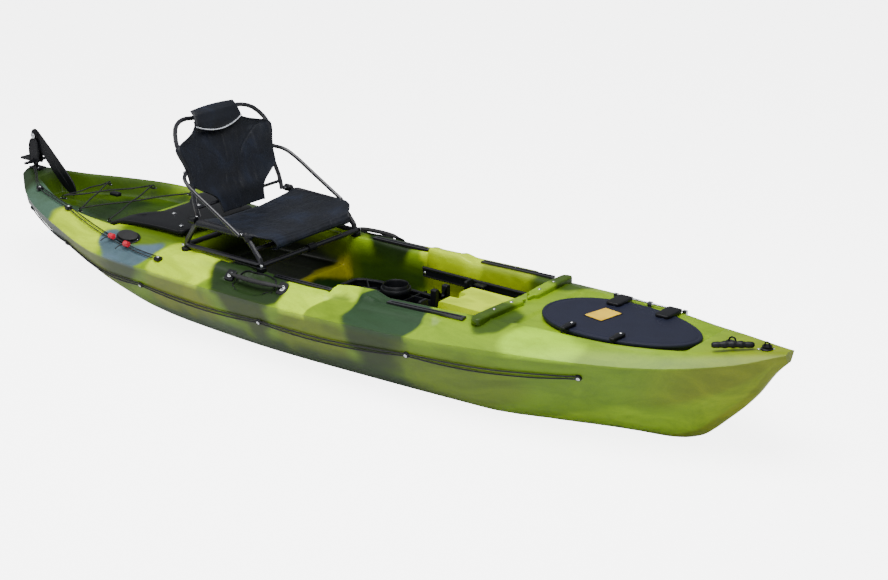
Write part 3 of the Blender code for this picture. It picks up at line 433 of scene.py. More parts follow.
def moulded_nylon(name, slot, code, rough, scale=420.0, strength=.18):
    """Injection-moulded nylon: near black, satin, with a spark-eroded grain of about 0.3 mm that is
    drawn at 2 mm, and its shade drifting a little paler in broad random blotches."""
    made, tree, shader, coords = new_material(name, slot, IOR=1.5, Specular_IOR_Level=.26)
    shade = add(tree, "ShaderNodeTexNoise", {"Scale": 14.0, "Detail": 4.0}, {"Vector": coords}).outputs["Fac"]
    dark = colour(code)
    pale = tuple(min(c * 1.6 + .001, 1) for c in dark[:3]) + (1.0,)
    band = add(tree, "ShaderNodeMix", {"data_type": "RGBA", 6: dark, 7: pale}, {0: shade}).outputs[2]
    tree.links.new(band, shader.inputs["Base Color"])
    grain = add(tree, "ShaderNodeTexNoise", {"Scale": scale, "Detail": 2.0},
                {"Vector": coords}).outputs["Fac"]
    rough_out = add(tree, "ShaderNodeMapRange", {"To Min": rough - .07, "To Max": rough + .09},
                    {"Value": grain}).outputs[0]
    tree.links.new(rough_out, shader.inputs["Roughness"])
    bump = add(tree, "ShaderNodeBump", {"Strength": strength, "Distance": .0006},
               {"Height": grain}).outputs[0]
    tree.links.new(bump, shader.inputs["Normal"])
    return made


def powder_coat():
    """Aluminium tube in black powder coat: a semi-gloss film with a fine pebble."""
    made, tree, shader, coords = new_material("black_powder_coat", "powder_coated_aluminium", IOR=1.5,
                                              Coat_Weight=.25, Coat_Roughness=.2)
    pebble = add(tree, "ShaderNodeTexNoise", {"Scale": 520.0, "Detail": 2.0},
                 {"Vector": coords}).outputs["Fac"]
    film = ramp(add(tree, "ShaderNodeValToRGB", links={"Fac": pebble}),
                [(.3, "#0c0c10"), (.7, "#18181f")]).outputs[0]
    tree.links.new(film, shader.inputs["Base Color"])
    rough = add(tree, "ShaderNodeMapRange", {"To Min": .28, "To Max": .42}, {"Value": pebble}).outputs[0]
    tree.links.new(rough, shader.inputs["Roughness"])
    bump = add(tree, "ShaderNodeBump", {"Strength": .15, "Distance": .0004}, {"Height": pebble}).outputs[0]
    tree.links.new(bump, shader.inputs["Normal"])
    return made


YARN_PITCH = .0022     # from one drawn yarn to the next
WAVE_REPEAT = .31      # from one band of a wave texture to the next at scale 1, about a tenth of pi


def mesh_fabric():
    """Vinyl-coated polyester mesh, plain weave of 0.6 mm yarns drawn at 2.2 mm so that the weave shows:
    navy-black with a cool sheen, creased where it is pulled; its colour is painted darker in the
    hollows of the creases and paler on their crests, as painted shade and light."""
    made, tree, shader, coords = new_material("coated_polyester_mesh", "coated_mesh_fabric", IOR=1.5,
                                              Specular_IOR_Level=.30,
                                              Sheen_Weight=.06, Sheen_Roughness=.45,
                                              Sheen_Tint=colour("#8fa4c8"))
    weave = []
    for axis in (0, 1):
        turn = add(tree, "ShaderNodeTexWave", {"wave_type": "BANDS", "bands_direction": "XY"[axis],
                                               "Scale": WAVE_REPEAT / YARN_PITCH,
                                               "Distortion": .4, "Detail": 1.0},
                   {"Vector": coords}).outputs["Fac"]
        weave.append(turn)
    crossed = add(tree, "ShaderNodeMath", {"operation": "MAXIMUM"}, {0: weave[0], 1: weave[1]}).outputs[0]
    crease = add(tree, "ShaderNodeTexNoise", {"Scale": 9.0, "Detail": 5.0, "Distortion": .8},
                 {"Vector": coords}).outputs["Fac"]
    # painted shade and light: the cloth is coloured darker in the hollows of the crease noise and paler on
    # its crests, the same noise that bends it in the fold bump below
    tone = ramp(add(tree, "ShaderNodeValToRGB", links={"Fac": crease}),
                [(.30, "#05070d"), (.55, "#090d17"), (.75, "#101828")]).outputs[0]
    threads = ramp(add(tree, "ShaderNodeValToRGB", links={"Fac": crossed}),
                   [(.25, "#a8acb4"), (.9, "#ffffff")]).outputs[0]
    base = add(tree, "ShaderNodeMix", {"data_type": "RGBA", "blend_type": "MULTIPLY", 0: .8},
               {6: tone, 7: threads}).outputs[2]
    tree.links.new(base, shader.inputs["Base Color"])
    rough = add(tree, "ShaderNodeMapRange", {"To Min": .42, "To Max": .62}, {"Value": crease}).outputs[0]
    tree.links.new(rough, shader.inputs["Roughness"])
    fold = add(tree, "ShaderNodeBump", {"Strength": .35, "Distance": .004}, {"Height": crease}).outputs[0]
    bump = add(tree, "ShaderNodeBump", {"Strength": .25, "Distance": .0006},
               {"Height": crossed, "Normal": fold}).outputs[0]
    tree.links.new(bump, shader.inputs["Normal"])
    return made


def plain(name, slot, codes, rough, scale, bump_scale=300.0, bump_strength=.12, **values):
    """A finish whose colour wanders between two tones, with a fine bump."""
    made, tree, shader, coords = new_material(name, slot, **values)
    drift = add(tree, "ShaderNodeTexNoise", {"Scale": scale, "Detail": 4.0},
                {"Vector": coords}).outputs["Fac"]
    tone = ramp(add(tree, "ShaderNodeValToRGB", links={"Fac": drift}),
                [(.32, codes[0]), (.68, codes[1])]).outputs[0]
    tree.links.new(tone, shader.inputs["Base Color"])
    spread = add(tree, "ShaderNodeMapRange", {"To Min": rough[0], "To Max": rough[1]},
                 {"Value": drift}).outputs[0]
    tree.links.new(spread, shader.inputs["Roughness"])
    fine = add(tree, "ShaderNodeTexNoise", {"Scale": bump_scale, "Detail": 2.0},
               {"Vector": coords}).outputs["Fac"]
    bump = add(tree, "ShaderNodeBump", {"Strength": bump_strength, "Distance": .0005},
               {"Height": fine}).outputs[0]
    tree.links.new(bump, shader.inputs["Normal"])
    return made


POLYETHYLENE = marbled_polyethylene()
NYLON = moulded_nylon("black_moulded_nylon", "black_nylon", "#05060a", .46)
LID = moulded_nylon("slate_moulded_lid", "moulded_lid_plastic", "#0f1222", .50, 300.0, .3)
POWDER_COAT = powder_coat()
MESH = mesh_fabric()
# EPDM rubber: matt black with a bloom
RUBBER = plain("black_epdm_rubber", "black_rubber", ("#0d0d0e", "#1b1b1d"), (.62, .80), 22.0)
# braided polyester cord: dull black, the braid carried by a close bump
CORD = plain("braided_polyester_cord", "braided_cord", ("#0b0b0c", "#1c1c1e"), (.66, .84), 60.0, 900.0, .5)
# satin 316 stainless: bright heads with fine scratches
STAINLESS = plain("satin_stainless_steel", "stainless_steel", ("#b9bbbf", "#e4e5e8"), (.16, .30), 120.0,
                  700.0, .06, Metallic=1.0)
# glossy red polypropylene toggles
RED = plain("red_polypropylene", "red_plastic", ("#a81226", "#cf2038"), (.28, .40), 30.0, IOR=1.49)
# printed vinyl plate, blank
YELLOW = plain("yellow_vinyl_plate", "yellow_plate", ("#d9ab10", "#efc720"), (.30, .44), 18.0, IOR=1.53)
# reflective piping, silver grey
PIPING = plain("silver_reflective_piping", "coated_mesh_fabric", ("#9a9ea8", "#d5d8de"), (.38, .5), 80.0)


# ---------------------------------------------------------------- the marbled hull
# a patch of colour: centre, reach along x, y and z, sRGB colour, and how soft its edge is
DECK_PATCHES = [
    ((-1.72, 0, .34), (.30, .5, .5), "#31462c", .35),
    ((-1.45, .10, .28), (.28, .3, .2), "#4c6a10", .6),
    ((-1.50, -.20, .31), (.20, .16, .2), "#5f7f6c", .4),
    ((-1.27, .0, .26), (.24, .16, .08), "#1f3a10", .5),
    ((-1.12, .12, .26), (.14, .22, .08), "#3e5c14", .6),
    ((-1.16, -.34, .31), (.22, .17, .2), "#ced60a", .28),
    ((-1.08, .36, .31), (.20, .12, .2), "#98b00c", .4),
    ((-.86, -.345, .30), (.155, .10, .12), "#6c8694", .16),
    ((-.83, -.24, .31), (.16, .06, .1), "#6f8e2c", .5),
    ((-.80, .30, .31), (.22, .16, .2), "#4a680e", .5),
    ((-.535, -.33, .30), (.165, .20, .16), "#d2dc08", .16),
    ((-.47, .33, .30), (.15, .20, .12), "#bcd006", .3),
    ((-.215, -.34, .29), (.195, .20, .14), "#2a4020", .14),
    ((-.07, .35, .29), (.205, .13, .14), "#1e3206", .2),
    ((.10, -.33, .29), (.155, .2, .14), "#cad80e", .10),
    ((.235, -.40, .27), (.115, .12, .10), "#92ac0c", .10),
    ((.25, .30, .31), (.17, .14, .12), "#cacf00", .12),
    ((.42, -.33, .29), (.165, .2, .14), "#2e4c30", .10),
    ((.56, .31, .31), (.17, .14, .12), "#b0c00a", .3),
    ((.78, .28, .33), (.13, .14, .10), "#456012", .3),
    ((.80, -.20, .345), (.10, .12, .05), "#466212", .3),
    ((1.05, -.30, .32), (.14, .10, .06), "#b2cc18", .5),
]
WELL_PATCHES = [
    # painted shade: this near-black patch lies on the seat floor under the seat, where the seat's shadow
    # falls
    ((-.45, 0, .19), (.30, .3, .1), "#161f0c", .3),
    ((-.255, 0, .16), (.05, .3, .12), "#b0a600", .3),
    ((-.05, .06, .12), (.30, .22, .06), "#203c1a", .35),
    ((.02, .24, .22), (.24, .10, .16), "#2c4406", .4),
    ((.27, .16, .12), (.22, .14, .08), "#92ac14", .45),
    ((.10, -.18, .12), (.25, .10, .09), "#254216", .4),
    ((.40, .23, .21), (.24, .09, .14), "#a4ae06", .3),
    ((.57, 0, .25), (.19, .20, .12), "#cace02", .15),
]
SIDE_PATCHES = [
    ((-1.50, 0, .25), (.50, .6, .3), "#3c4c42", .3),
    ((-1.05, 0, .20), (.28, .6, .12), "#6d7d34", .5),
    ((-.86, 0, .22), (.18, .6, .09), "#38480a", .4),
    ((-.54, 0, .17), (.23, .6, .16), "#808f02", .3),
    ((-.20, 0, .22), (.18, .6, .13), "#3c4c04", .2),
    ((.12, 0, .18), (.24, .6, .15), "#728604", .2),
    ((.42, 0, .20), (.19, .6, .13), "#34460a", .2),
    ((.10, 0, .05), (.75, .6, .075), "#2e4220", .35),
    ((-.45, 0, .06), (.45, .6, .07), "#4a5c40", .35),
    ((.75, 0, .15), (.30, .6, .13), "#708a0a", .4),
]


VIVID = 1.25     # how far the marbled colours are pushed from grey
# a patch's linear red, green and blue are scaled by the first row whose level its green passes:
# limes turn greener, mid greens and darks are deepened
TONES = [(.58, (.86, 1.04, .20)), (.30, (.60, .64, .40)), (-1, (.62, .58, .60))]


def toned(code):
    """A patch's colour as it is laid on the hull, scaled by the row of TONES that it falls in."""
    shade = np.array(colour(code)[:3])
    scale = next(row for level, row in TONES if shade[1] > level)
    return np.clip(shade * scale, 0, 1)


def painted(places, patches, base, wobble, seed):
    """Colour at each place: the patches laid one over another on the base. A patch's cover is a
    smoothstep of 1 minus its ellipsoid distance, measured from places pushed about by value noise."""
    push = np.stack([mottle(places + 3.1 * k, .16, seed + k) * .7
                     + mottle(places - 1.7 * k, .05, seed + 5 + k) * .3
                     for k in range(3)], -1)
    moved = places + push * wobble
    shade = np.broadcast_to(toned(base), places.shape).copy()
    for centre, reach, code, soft in patches:
        distance = np.sqrt((((moved - centre) / reach) ** 2).sum(-1))
        cover = smooth(1 - distance, -soft * .5, soft * .5)[..., None]
        shade = shade * (1 - cover) + toned(code) * cover
    return shade


def marbling_and_shade(obj, seed=3):
    """Writes the marbled colour of a hull piece, with the painted shade under the seat, into the colour
    attribute that the polyethylene shader reads, from where each point is.
    """
    mesh = obj.data
    places = np.empty(len(mesh.vertices) * 3)
    mesh.vertices.foreach_get("co", places)
    places = places.reshape(-1, 3)
    x, y, z = places.T
    upper = painted(places, DECK_PATCHES, "#9cba08", .055, seed)
    # the well's colours include the painted shade on the seat floor under the seat
    well = painted(places, WELL_PATCHES, "#6c8208", .05, seed + 20)
    lower = painted(places, SIDE_PATCHES, "#7c9808", .05, seed + 40)
    bow = smooth(x, 1.42, 1.80)[:, None]
    upper = upper * (1 - bow) + np.array(colour("#7c8a00")[:3]) * bow
    bow = smooth(x - .35 * (z - .2), 1.30, 1.62)[:, None]
    lower = lower * (1 - bow) + np.array(colour("#727c00")[:3]) * bow
    edge = curve(INNER_EDGE, x)
    in_well = smooth(edge - np.abs(y), .002, .016) * between(x, COCKPIT, .02)
    shade = upper * (1 - in_well[:, None]) + well * in_well[:, None]
    sheer = curve(SHEER, x)
    under = (smooth(sheer - z, -.002, .006)
             * (1 - smooth(edge + .02 - np.abs(y), 0, .01) * (z > curve(KEEL, x) + .03)))
    shade = shade * (1 - under[:, None]) + lower * under[:, None]
    grey = shade.mean(1, keepdims=True)
    shade = np.clip(grey + (shade - grey) * VIVID, .0015, .92)
    attribute = mesh.color_attributes.new("marbling_and_shade", "FLOAT_COLOR", "POINT")
    attribute.data.foreach_set("color", np.column_stack([shade, np.ones(len(shade))]).ravel())


def make_hull():
    """The hull as one closed skin: at each station the keel strip, the topsides up to the sheer, and
    the deck across, joined round; the ends are closed by ladders of faces."""
    fine = [np.linspace(STERN, BOW, 420)]
    for wall in (*COCKPIT, *TANKWELL, *HATCH_WELL, RISER_X, BLOCK[0], .137, -.25, .49):
        fine.append(np.linspace(wall - .045, wall + .045, 19))
    x = np.unique(np.clip(np.concatenate(fine), STERN, BOW).round(4))[:, None]
    share = np.concatenate([np.linspace(0, .9, 16), np.linspace(.93, 1, 5)])
    side_y, side_z = hull_side(x, share[None, :])
    beam, edge = curve(HALF_BEAM, x), curve(INNER_EDGE, x)
    gunwale = np.linspace(0, 1, 19)[1:-1]
    wall = np.linspace(-.002, .036, 11)
    far = np.maximum(edge - wall[None, :], 0)
    inner = np.concatenate([np.linspace(1, .62, 5)[1:],
                            [.53, .50, .48, .46, .44, .42, .39, .3, .2, .14, .11, .07, 0]])
    reach = far[:, -1:]
    floor = reach * inner[None, :]
    near_block = (x > .2) & (x < .8)
    floor = np.where(near_block, np.interp(inner, [0, .39, .53, .62, 1], [0, .082, .118, .135, 1])[None, :],
                     floor)
    floor = np.where(near_block & (inner[None, :] > .62),
                     .135 + (reach - .135) * ((inner - .62) / .38)[None, :], floor)
    deck_y = np.concatenate([beam - (beam - edge) * gunwale[None, :], far, floor], 1)
    deck_y = np.minimum.accumulate(np.maximum(deck_y, 0), 1)
    deck_z = deck(np.broadcast_to(x, deck_y.shape), deck_y)
    half_y = np.concatenate([np.zeros_like(x), side_y, deck_y[:, :-1]], 1)
    half_z = np.concatenate([curve(KEEL, x), side_z, deck_z[:, :-1]], 1)
    y = np.concatenate([half_y, deck_y[:, -1:], -half_y[:, :0:-1]], 1)
    z = np.concatenate([half_z, deck_z[:, -1:], half_z[:, :0:-1]], 1)
    points = np.stack([np.broadcast_to(x, y.shape), y, z], -1)
    for side in (-1, 1):
        points = bored(points, side)
    rows, columns = points.shape[:2]
    quads = net(rows, columns, wrap_columns=True)[:, ::-1].tolist()
    quads += [list(range(columns)), list(range((rows - 1) * columns, rows * columns))[::-1]]
    hull = piece("hull_skin", points, quads, POLYETHYLENE, "hull", ("hull",), 55)
    marbling_and_shade(hull)
    return hull


def rod_axis(side):
    """Where a rod holder's axis meets the gunwale, and its direction up out of the hull."""
    x, y = ROD_HOLDER
    way = np.array([-math.sin(ROD_LEAN), side * .1, math.cos(ROD_LEAN)])
    return np.array([x, side * y, float(deck(x, y))]), way


def bored(points, side):
    """Pushes the skin down along a rod holder's axis, inside 28 mm of it, to make room for its cup."""
    place, way = rod_axis(side)
    offset = points - place
    along = offset @ way / (way @ way)
    off_axis = np.linalg.norm(offset - along[..., None] * way, axis=-1)
    near = (np.abs(along) < .05) & (points[..., 2] > .28)
    push = smooth(.034 - off_axis, 0, .006) * near
    return points - push[..., None] * way * .185


def beam_outline():
    """Side view of a cross beam's section, (x, z), as a rounded low trapezium."""
    return rounded_outline([(-.026, -.034), (.022, -.034), (.022, .001), (.015, .006), (-.019, .006),
                            (-.026, .000)], .005)


def make_beams():
    """The two stub beams over the front of the footwell, each with two screws."""
    heads = []
    for side, word in ((-1, "starboard"), (1, "port")):
        y = np.linspace(.034, .262, 24)
        ends = smooth(y, .030, .042) * .9 + .1
        rise = .348 + .003 * np.sin((y - .034) / .228 * math.pi)
        path = np.stack([.778 - .05 * (y - .16), side * y, rise], -1)
        outline = beam_outline()
        section = np.stack([outline[:, 0], outline[:, 1]], -1) * ends[:, None, None]
        section = section * np.array([-side, 1])
        beam = bar("cross_beam_" + word, path, section[:, ::side], (0, 0, 1), POLYETHYLENE, "hull", angle=60)
        marbling_and_shade(beam)
        heads += [(.778 - .05 * (k - .16), side * k, .3555) for k in (.085, .180)]
    screws("beam_screws", heads, (0, 0, 1), .006)


def screws(name, places, normal, radius, body="hull"):
    """Pan-head stainless screws: a washer rim, a domed head and a cross recess sunk in its crown."""
    places = np.atleast_2d(places)
    normals = np.broadcast_to(normal, places.shape)
    rings = [(radius * 1.25, -.001), (radius * 1.25, .0006), (radius, .0008), (radius * .98, radius * .22),
             (radius * .75, radius * .42), (radius * .35, radius * .50), (radius * .28, radius * .26)]
    return turned(name, places, normals, rings, STAINLESS, body, sides=14, angle=50)


make_hull()
make_beams()


# ---------------------------------------------------------------- the seat
def slung(name, points, thickness, body, replaces):
    """A cloth panel from a grid of points, given its thickness."""
    rows, columns = points.shape[:2]
    panel = piece(name, points, net(rows, columns)[:, ::-1].tolist(), MESH, body, replaces, 60)
    solid = panel.modifiers.new("thickness", 'SOLIDIFY')
    solid.thickness = thickness
    solid.offset = 0
    return panel


def sleeve(edge_y, rise, radius, turns):
    """Columns of a sleeve round a tube: from the panel's edge the cloth goes round the tube's centre,
    at angle turns from its front, as (across, out) pairs for each row."""
    y = edge_y[:, None] + radius[:, None] * np.sin(turns)
    out = rise[:, None] - radius[:, None] * (1 - np.cos(turns))
    return y, out


BACK_WIDTH = [(-.012, .114), (.012, .117), (.035, .123), (.058, .140), (.080, .172), (.100, .204),
              (.120, .223),
              (.160, .2245), (.20, .232), (.262, .250), (.276, .248), (.288, .226), (.298, .193),
              (.310, .158),
              (.325, .130), (.340, .112), (.352, .106)]
HEAD_LOW, HEAD_BOW = .303, .030       # the headrest's lower edge at its middle, and how much its ends rise


def make_back_sling():
    """The back's cloth: half-width by height from the table, sleeves round the side tubes, a slack
    dish of depth (1 - s^2), and seams drawn in as grooves exp(-(d / 3 mm)^2)."""
    along = np.linspace(-.012, .352, 110)
    width = curve(BACK_WIDTH, along)
    on_tube = smooth(along, .100, .125) * smooth(-along, -.286, -.268)
    radius = .0025 + .0090 * on_tube
    front = (.0125 + .004 * smooth(-along, -.10, -.05) - .010 * smooth(along, .29, .33)
             + curve(BACK_BEND, along))
    slack = ((.004 + .020 * smooth(along, .04, .16) + .012 * smooth(along, .16, .30))
             * smooth(-along, -.352, -.30))
    s = np.linspace(-1, 1, 121)
    y = width[:, None] * s
    out = front[:, None] - slack[:, None] * (1 - s ** 2) ** .8
    places = np.stack(np.broadcast_arrays(y, along[:, None], 0 * y), -1)
    out = (out + .0022 * mottle(places * [1, .45, 1], .045, 11) + .0012
           * mottle(places * [1.6, .7, 1], .02, 12))
    for foot, top, bend in ((-.012, .012, 0), (-.055, -.205, .05), (.070, .215, -.045)):
        t = np.clip((along - .10) / .19, 0, 1)
        line = foot + (top - foot) * t ** 1.6 + bend * np.sin(math.pi * t)
        groove = np.exp(-((y - line[:, None]) / .0035) ** 2) * smooth(along, .06, .12)[:, None]
        out = out - .0022 * groove
    turns = np.linspace(0, 3.6, 10)[1:]
    side_y, side_out = sleeve(width, front, radius, turns)
    y = np.concatenate([-side_y[:, ::-1], y, side_y], 1)
    out = np.concatenate([side_out[:, ::-1], out, side_out], 1)
    slung("seat_back_cloth", back_point(along[:, None], y, out), .0026, "seat_back", ("seat_back_sling",))
    for side in (-1, 1):
        hem = back_point(along[:70], side * (width[:70] + .001), front[:70] * .9)
        bar(f"back_hem_{'port' if side > 0 else 'starboard'}", hem[:34], disc(.0028, 8), (1, 0, 0), RUBBER,
            "seat_back")


def make_headrest():
    """The headrest pad: a pillow between its sewn rims, thickness by (1 - u^6)(1 - v^4) to the power .5,
    bent aft at its top; its lower edge follows a hanging curve that carries silver piping."""
    u, v = np.linspace(-1, 1, 61)[None, :], np.linspace(-1, 1, 33)[:, None]
    low = HEAD_LOW + HEAD_BOW * u ** 2
    high = .402 - .006 * u ** 2
    along = low + (high - low) * (v + 1) / 2
    y = .121 * u * (1 - .035 * v) + 0 * along
    middle = np.interp(along, [.30, .34, .375, .402], [-.009, -.012, -.019, -.036])
    fat = .0085 * ((1 - u ** 6) * (1 - v ** 4)) ** .5
    places = np.stack(np.broadcast_arrays(y, along, 0 * y), -1)
    crease = .0012 * mottle(places * [1, .6, 1], .03, 31)
    front = back_point(along, y, middle + fat + crease + .0012)
    rear = back_point(along, y, middle - fat - .0012)
    loop = np.concatenate([front, rear[:, ::-1]], 1)
    rows, columns = loop.shape[:2]
    quads = net(rows, columns, wrap_columns=True)[:, ::-1].tolist()
    for row, flip in ((0, 1), (rows - 1, -1)):
        start = row * columns
        half = columns // 2
        for k in range(half - 1):
            quads.append([start + k, start + columns - 1 - k, start + columns - 2 - k,
                          start + k + 1][::-flip])
    pad = piece("headrest_pad", loop, quads, MESH, "seat_back", ("seat_headrest",), 70)
    across = np.linspace(-1, 1, 40)
    line = back_point(HEAD_LOW - .002 + HEAD_BOW * across ** 2, .121 * across * 1.035,
                      -.0065 - .002 * across ** 2)
    bar("headrest_piping", line, disc(.0023, 8), (1, 0, .3), PIPING, "seat_back")


SEAT_PROFILE = [(-.560, .4370), (-.50, .4400), (-.42, .4400), (-.34, .4400), (-.30, .4385), (-.262, .4330),
                (-.232, .4200),
                (-.214, .4020), (-.2085, .3860), (-.219, .3725), (-.248, .3680)]
SEAT_WIDTH = [(0, .270), (.272, .270), (.300, .262), (.325, .238), (.345, .212), (.38, .204), (.47, .200)]


def make_seat_cloth():
    """The seat's cloth: a profile from the back to the roll at the front, half-width by distance along
    it, sleeves round the side tubes, a dish of depth (1 - s^2), and four sewn lines across the roll."""
    centre = route([(x, 0, z) for x, z in SEAT_PROFILE], 120)
    length = np.concatenate([[0], np.cumsum(np.linalg.norm(np.diff(centre, axis=0), axis=1))])
    width = curve(SEAT_WIDTH, length)
    tangent = np.gradient(centre, axis=0)
    tangent /= np.linalg.norm(tangent, axis=1, keepdims=True)
    over = np.stack([-tangent[:, 2], 0 * length, tangent[:, 0]], -1)
    s = np.linspace(-1, 1, 111)
    y = width[:, None] * s
    flatness = smooth(-length, -.40, -.30)
    lift = -(.005 + .020 * flatness[:, None]) * (1 - s ** 2)
    places = np.stack(np.broadcast_arrays(y, length[:, None], 0 * y), -1)
    pull = (.0020 * mottle(places * [.5, 1, 1], .035, 51) * flatness[:, None] + .0010
            * mottle(places * [.8, 2, 1], .02, 52))
    lift = lift + pull
    for place in (.335, .352, .372):
        lift = lift - .0016 * np.exp(-((length[:, None] - place) / .0032) ** 2)
    for line in (-.10, .10):
        lift = lift - .0016 * np.exp(-((y - line * (1 + .2 * flatness[:, None])) / .0032) ** 2)
    on_tube = smooth(-length, -.295, -.262)
    radius = .0020 + .0105 * on_tube
    turns = np.linspace(0, 3.9, 10)[1:]
    side_y, side_lift = sleeve(width, 0 * width, radius, turns)
    y = np.concatenate([-side_y[:, ::-1], y, side_y], 1)
    lift = np.concatenate([side_lift[:, ::-1], lift, side_lift], 1)
    points = centre[:, None] + over[:, None] * lift[..., None] + np.array([0, 1, 0]) * y[..., None]
    slung("seat_cloth", points, .0026, "hull", ("seat_sling",))


def make_seat_hardware():
    """Bright bolts at the seat's joints, lugs on its feet, and the plastic elbows of its frame."""
    for side, word in ((-1, "starboard"), (1, "port")):
        out = (0, side, 0)
        seat_bolts = [(-.225, side * .2815, .3265), (-.325, side * .2815, .431), (-.590, side * .2815, .437),
                      (-.636, side * .2815, .3265)]
        screws("seat_bolts_" + word, seat_bolts, out, .0058)
        screws("back_bolts_" + word, [(-.640, side * .2520, .607), (-.5895, side * .2465, .4385)], out,
               .0058, "seat_back")
        strut = [(-.325, side * .292, .431), (-.46, side * .292, .5065), (-.56, side * .292, .5625),
                 (-.612, side * .279, .5915), (-.640, side * .2445, .607)]
        bar("strut_tube_" + word, route(strut, 30), disc(.0078, 16), (0, 0, 1), POWDER_COAT,
            "seat_strut_" + word,
            replaces=("seat_strut_" + word,))
        foot = [(-.235, side * .27, .3135), (-.628, side * .27, .3135)]
        ring = [(.019, -.010), (.020, -.008), (.020, .004), (.017, .006), (.0125, .0065)]
        turned("seat_feet_" + word, foot, [(0, 0, 1)] * 2, ring, NYLON, "hull", 20)
        socket = [(.0135, -.016), (.015, -.014), (.015, .014), (.0135, .016)]
        places = [(-.304, side * .27, .4205), (-.586, side * .27, .4360)]
        turned("seat_sockets_" + word, places, [(-.64, 0, .76), (1, 0, 0)], socket, NYLON, "hull", 18)


make_back_sling()
make_headrest()
make_seat_cloth()
make_seat_hardware()


# ---------------------------------------------------------------- lines along the hull
def safety_strands(side, apart=.0078):
    """The double safety line: a strand apart above its clips and a strand apart below, hanging in a
    half sine between them, and turned round at the last clip."""
    places = np.array(LINE_CLIPS)
    span = np.arange(len(places) - 1)[:, None]
    t = np.linspace(0, 1, 18, endpoint=False)[None, :]
    x = (places[span, 0] + (places[span + 1, 0] - places[span, 0]) * t).ravel()
    drop = (places[span, 1] + (places[span + 1, 1] - places[span,
                                                            1]) * t + .016 * np.sin(math.pi * t)).ravel()
    pinch = (1 - .45 * np.abs(np.cos(math.pi * t + 0 * span)) ** 8).ravel()
    upper, lower = (on_side(x, drop + k * apart * pinch, .0052) for k in (-1, 1))
    end_x, end_drop = places[-1]
    turn = np.linspace(-math.pi / 2, math.pi / 2, 7)
    loop = on_side(end_x + .008 * np.cos(turn), end_drop + .0055 * np.sin(turn), .0052)
    return np.vstack([upper, loop, lower[::-1]]) * [1, side, 1]


def make_safety_lines():
    """Both safety lines and their button clips: a black boss with a bright screw in it."""
    boss = [(.0125, -.004), (.0125, .003), (.011, .0075), (.0075, .0095), (.005, .0096)]
    for side, word in ((-1, "starboard"), (1, "port")):
        bar("safety_cord_" + word, safety_strands(side), disc(.0025, 8), (0, 0, 1), CORD, "hull",
            replaces=("safety_line_" + word,))
        x, drop = np.array(LINE_CLIPS).T
        place = on_side(x, drop, 0) * [1, side, 1]
        ahead = on_side(x + .01, drop, 0) * [1, side, 1] - place
        below = on_side(x, drop + .01, 0) * [1, side, 1] - place
        out = np.cross(ahead, below) * -side
        out *= np.sign(out[:, 1:2] * side)
        out /= np.linalg.norm(out, axis=1, keepdims=True)
        turned("line_clips_" + word, place, out, boss, NYLON, "hull", 18)
        screws("clip_screws_" + word, place + out * .0092, out, .0052)


def on_deck(x, y, lift):
    """Points lifted off the deck along Z."""
    x, y = np.asarray(x, float), np.asarray(y, float)
    return np.stack([x, y, deck(x, y) + lift], -1)


def pad_eyes(name, places, yaw):
    """Pad eyes: an oval foot with two screws and an arch of 3 mm bar over it, turned by yaw."""
    for k, (place, turn) in enumerate(zip(places, yaw)):
        c, s = math.cos(turn), math.sin(turn)
        angle = np.linspace(0, 2 * math.pi, 28, endpoint=False)
        foot = np.stack([.018 * np.cos(angle), .0075 * np.sin(angle)], -1)
        spread = lambda x, y, z: np.stack([place[0] + c * x - s * y, place[1] + s * x + c * y, place[2] + z],
                                          -1)
        slab(f"{name}_foot_{k}", foot, .003, NYLON, "hull", .001, place=spread)
        t = np.linspace(0, math.pi, 15)
        arch = spread(.0085 * np.cos(t), 0 * t, .002 + .0125 * np.sin(t) ** .7)
        bar(f"{name}_arch_{k}", arch, disc(.0021, 8), (-s, c, 0), NYLON, "hull")
        screws(f"{name}_screws_{k}", spread(np.array([-.0135, .0135]), np.zeros(2), np.full(2, .0028)),
               (0, 0, 1), .0030)


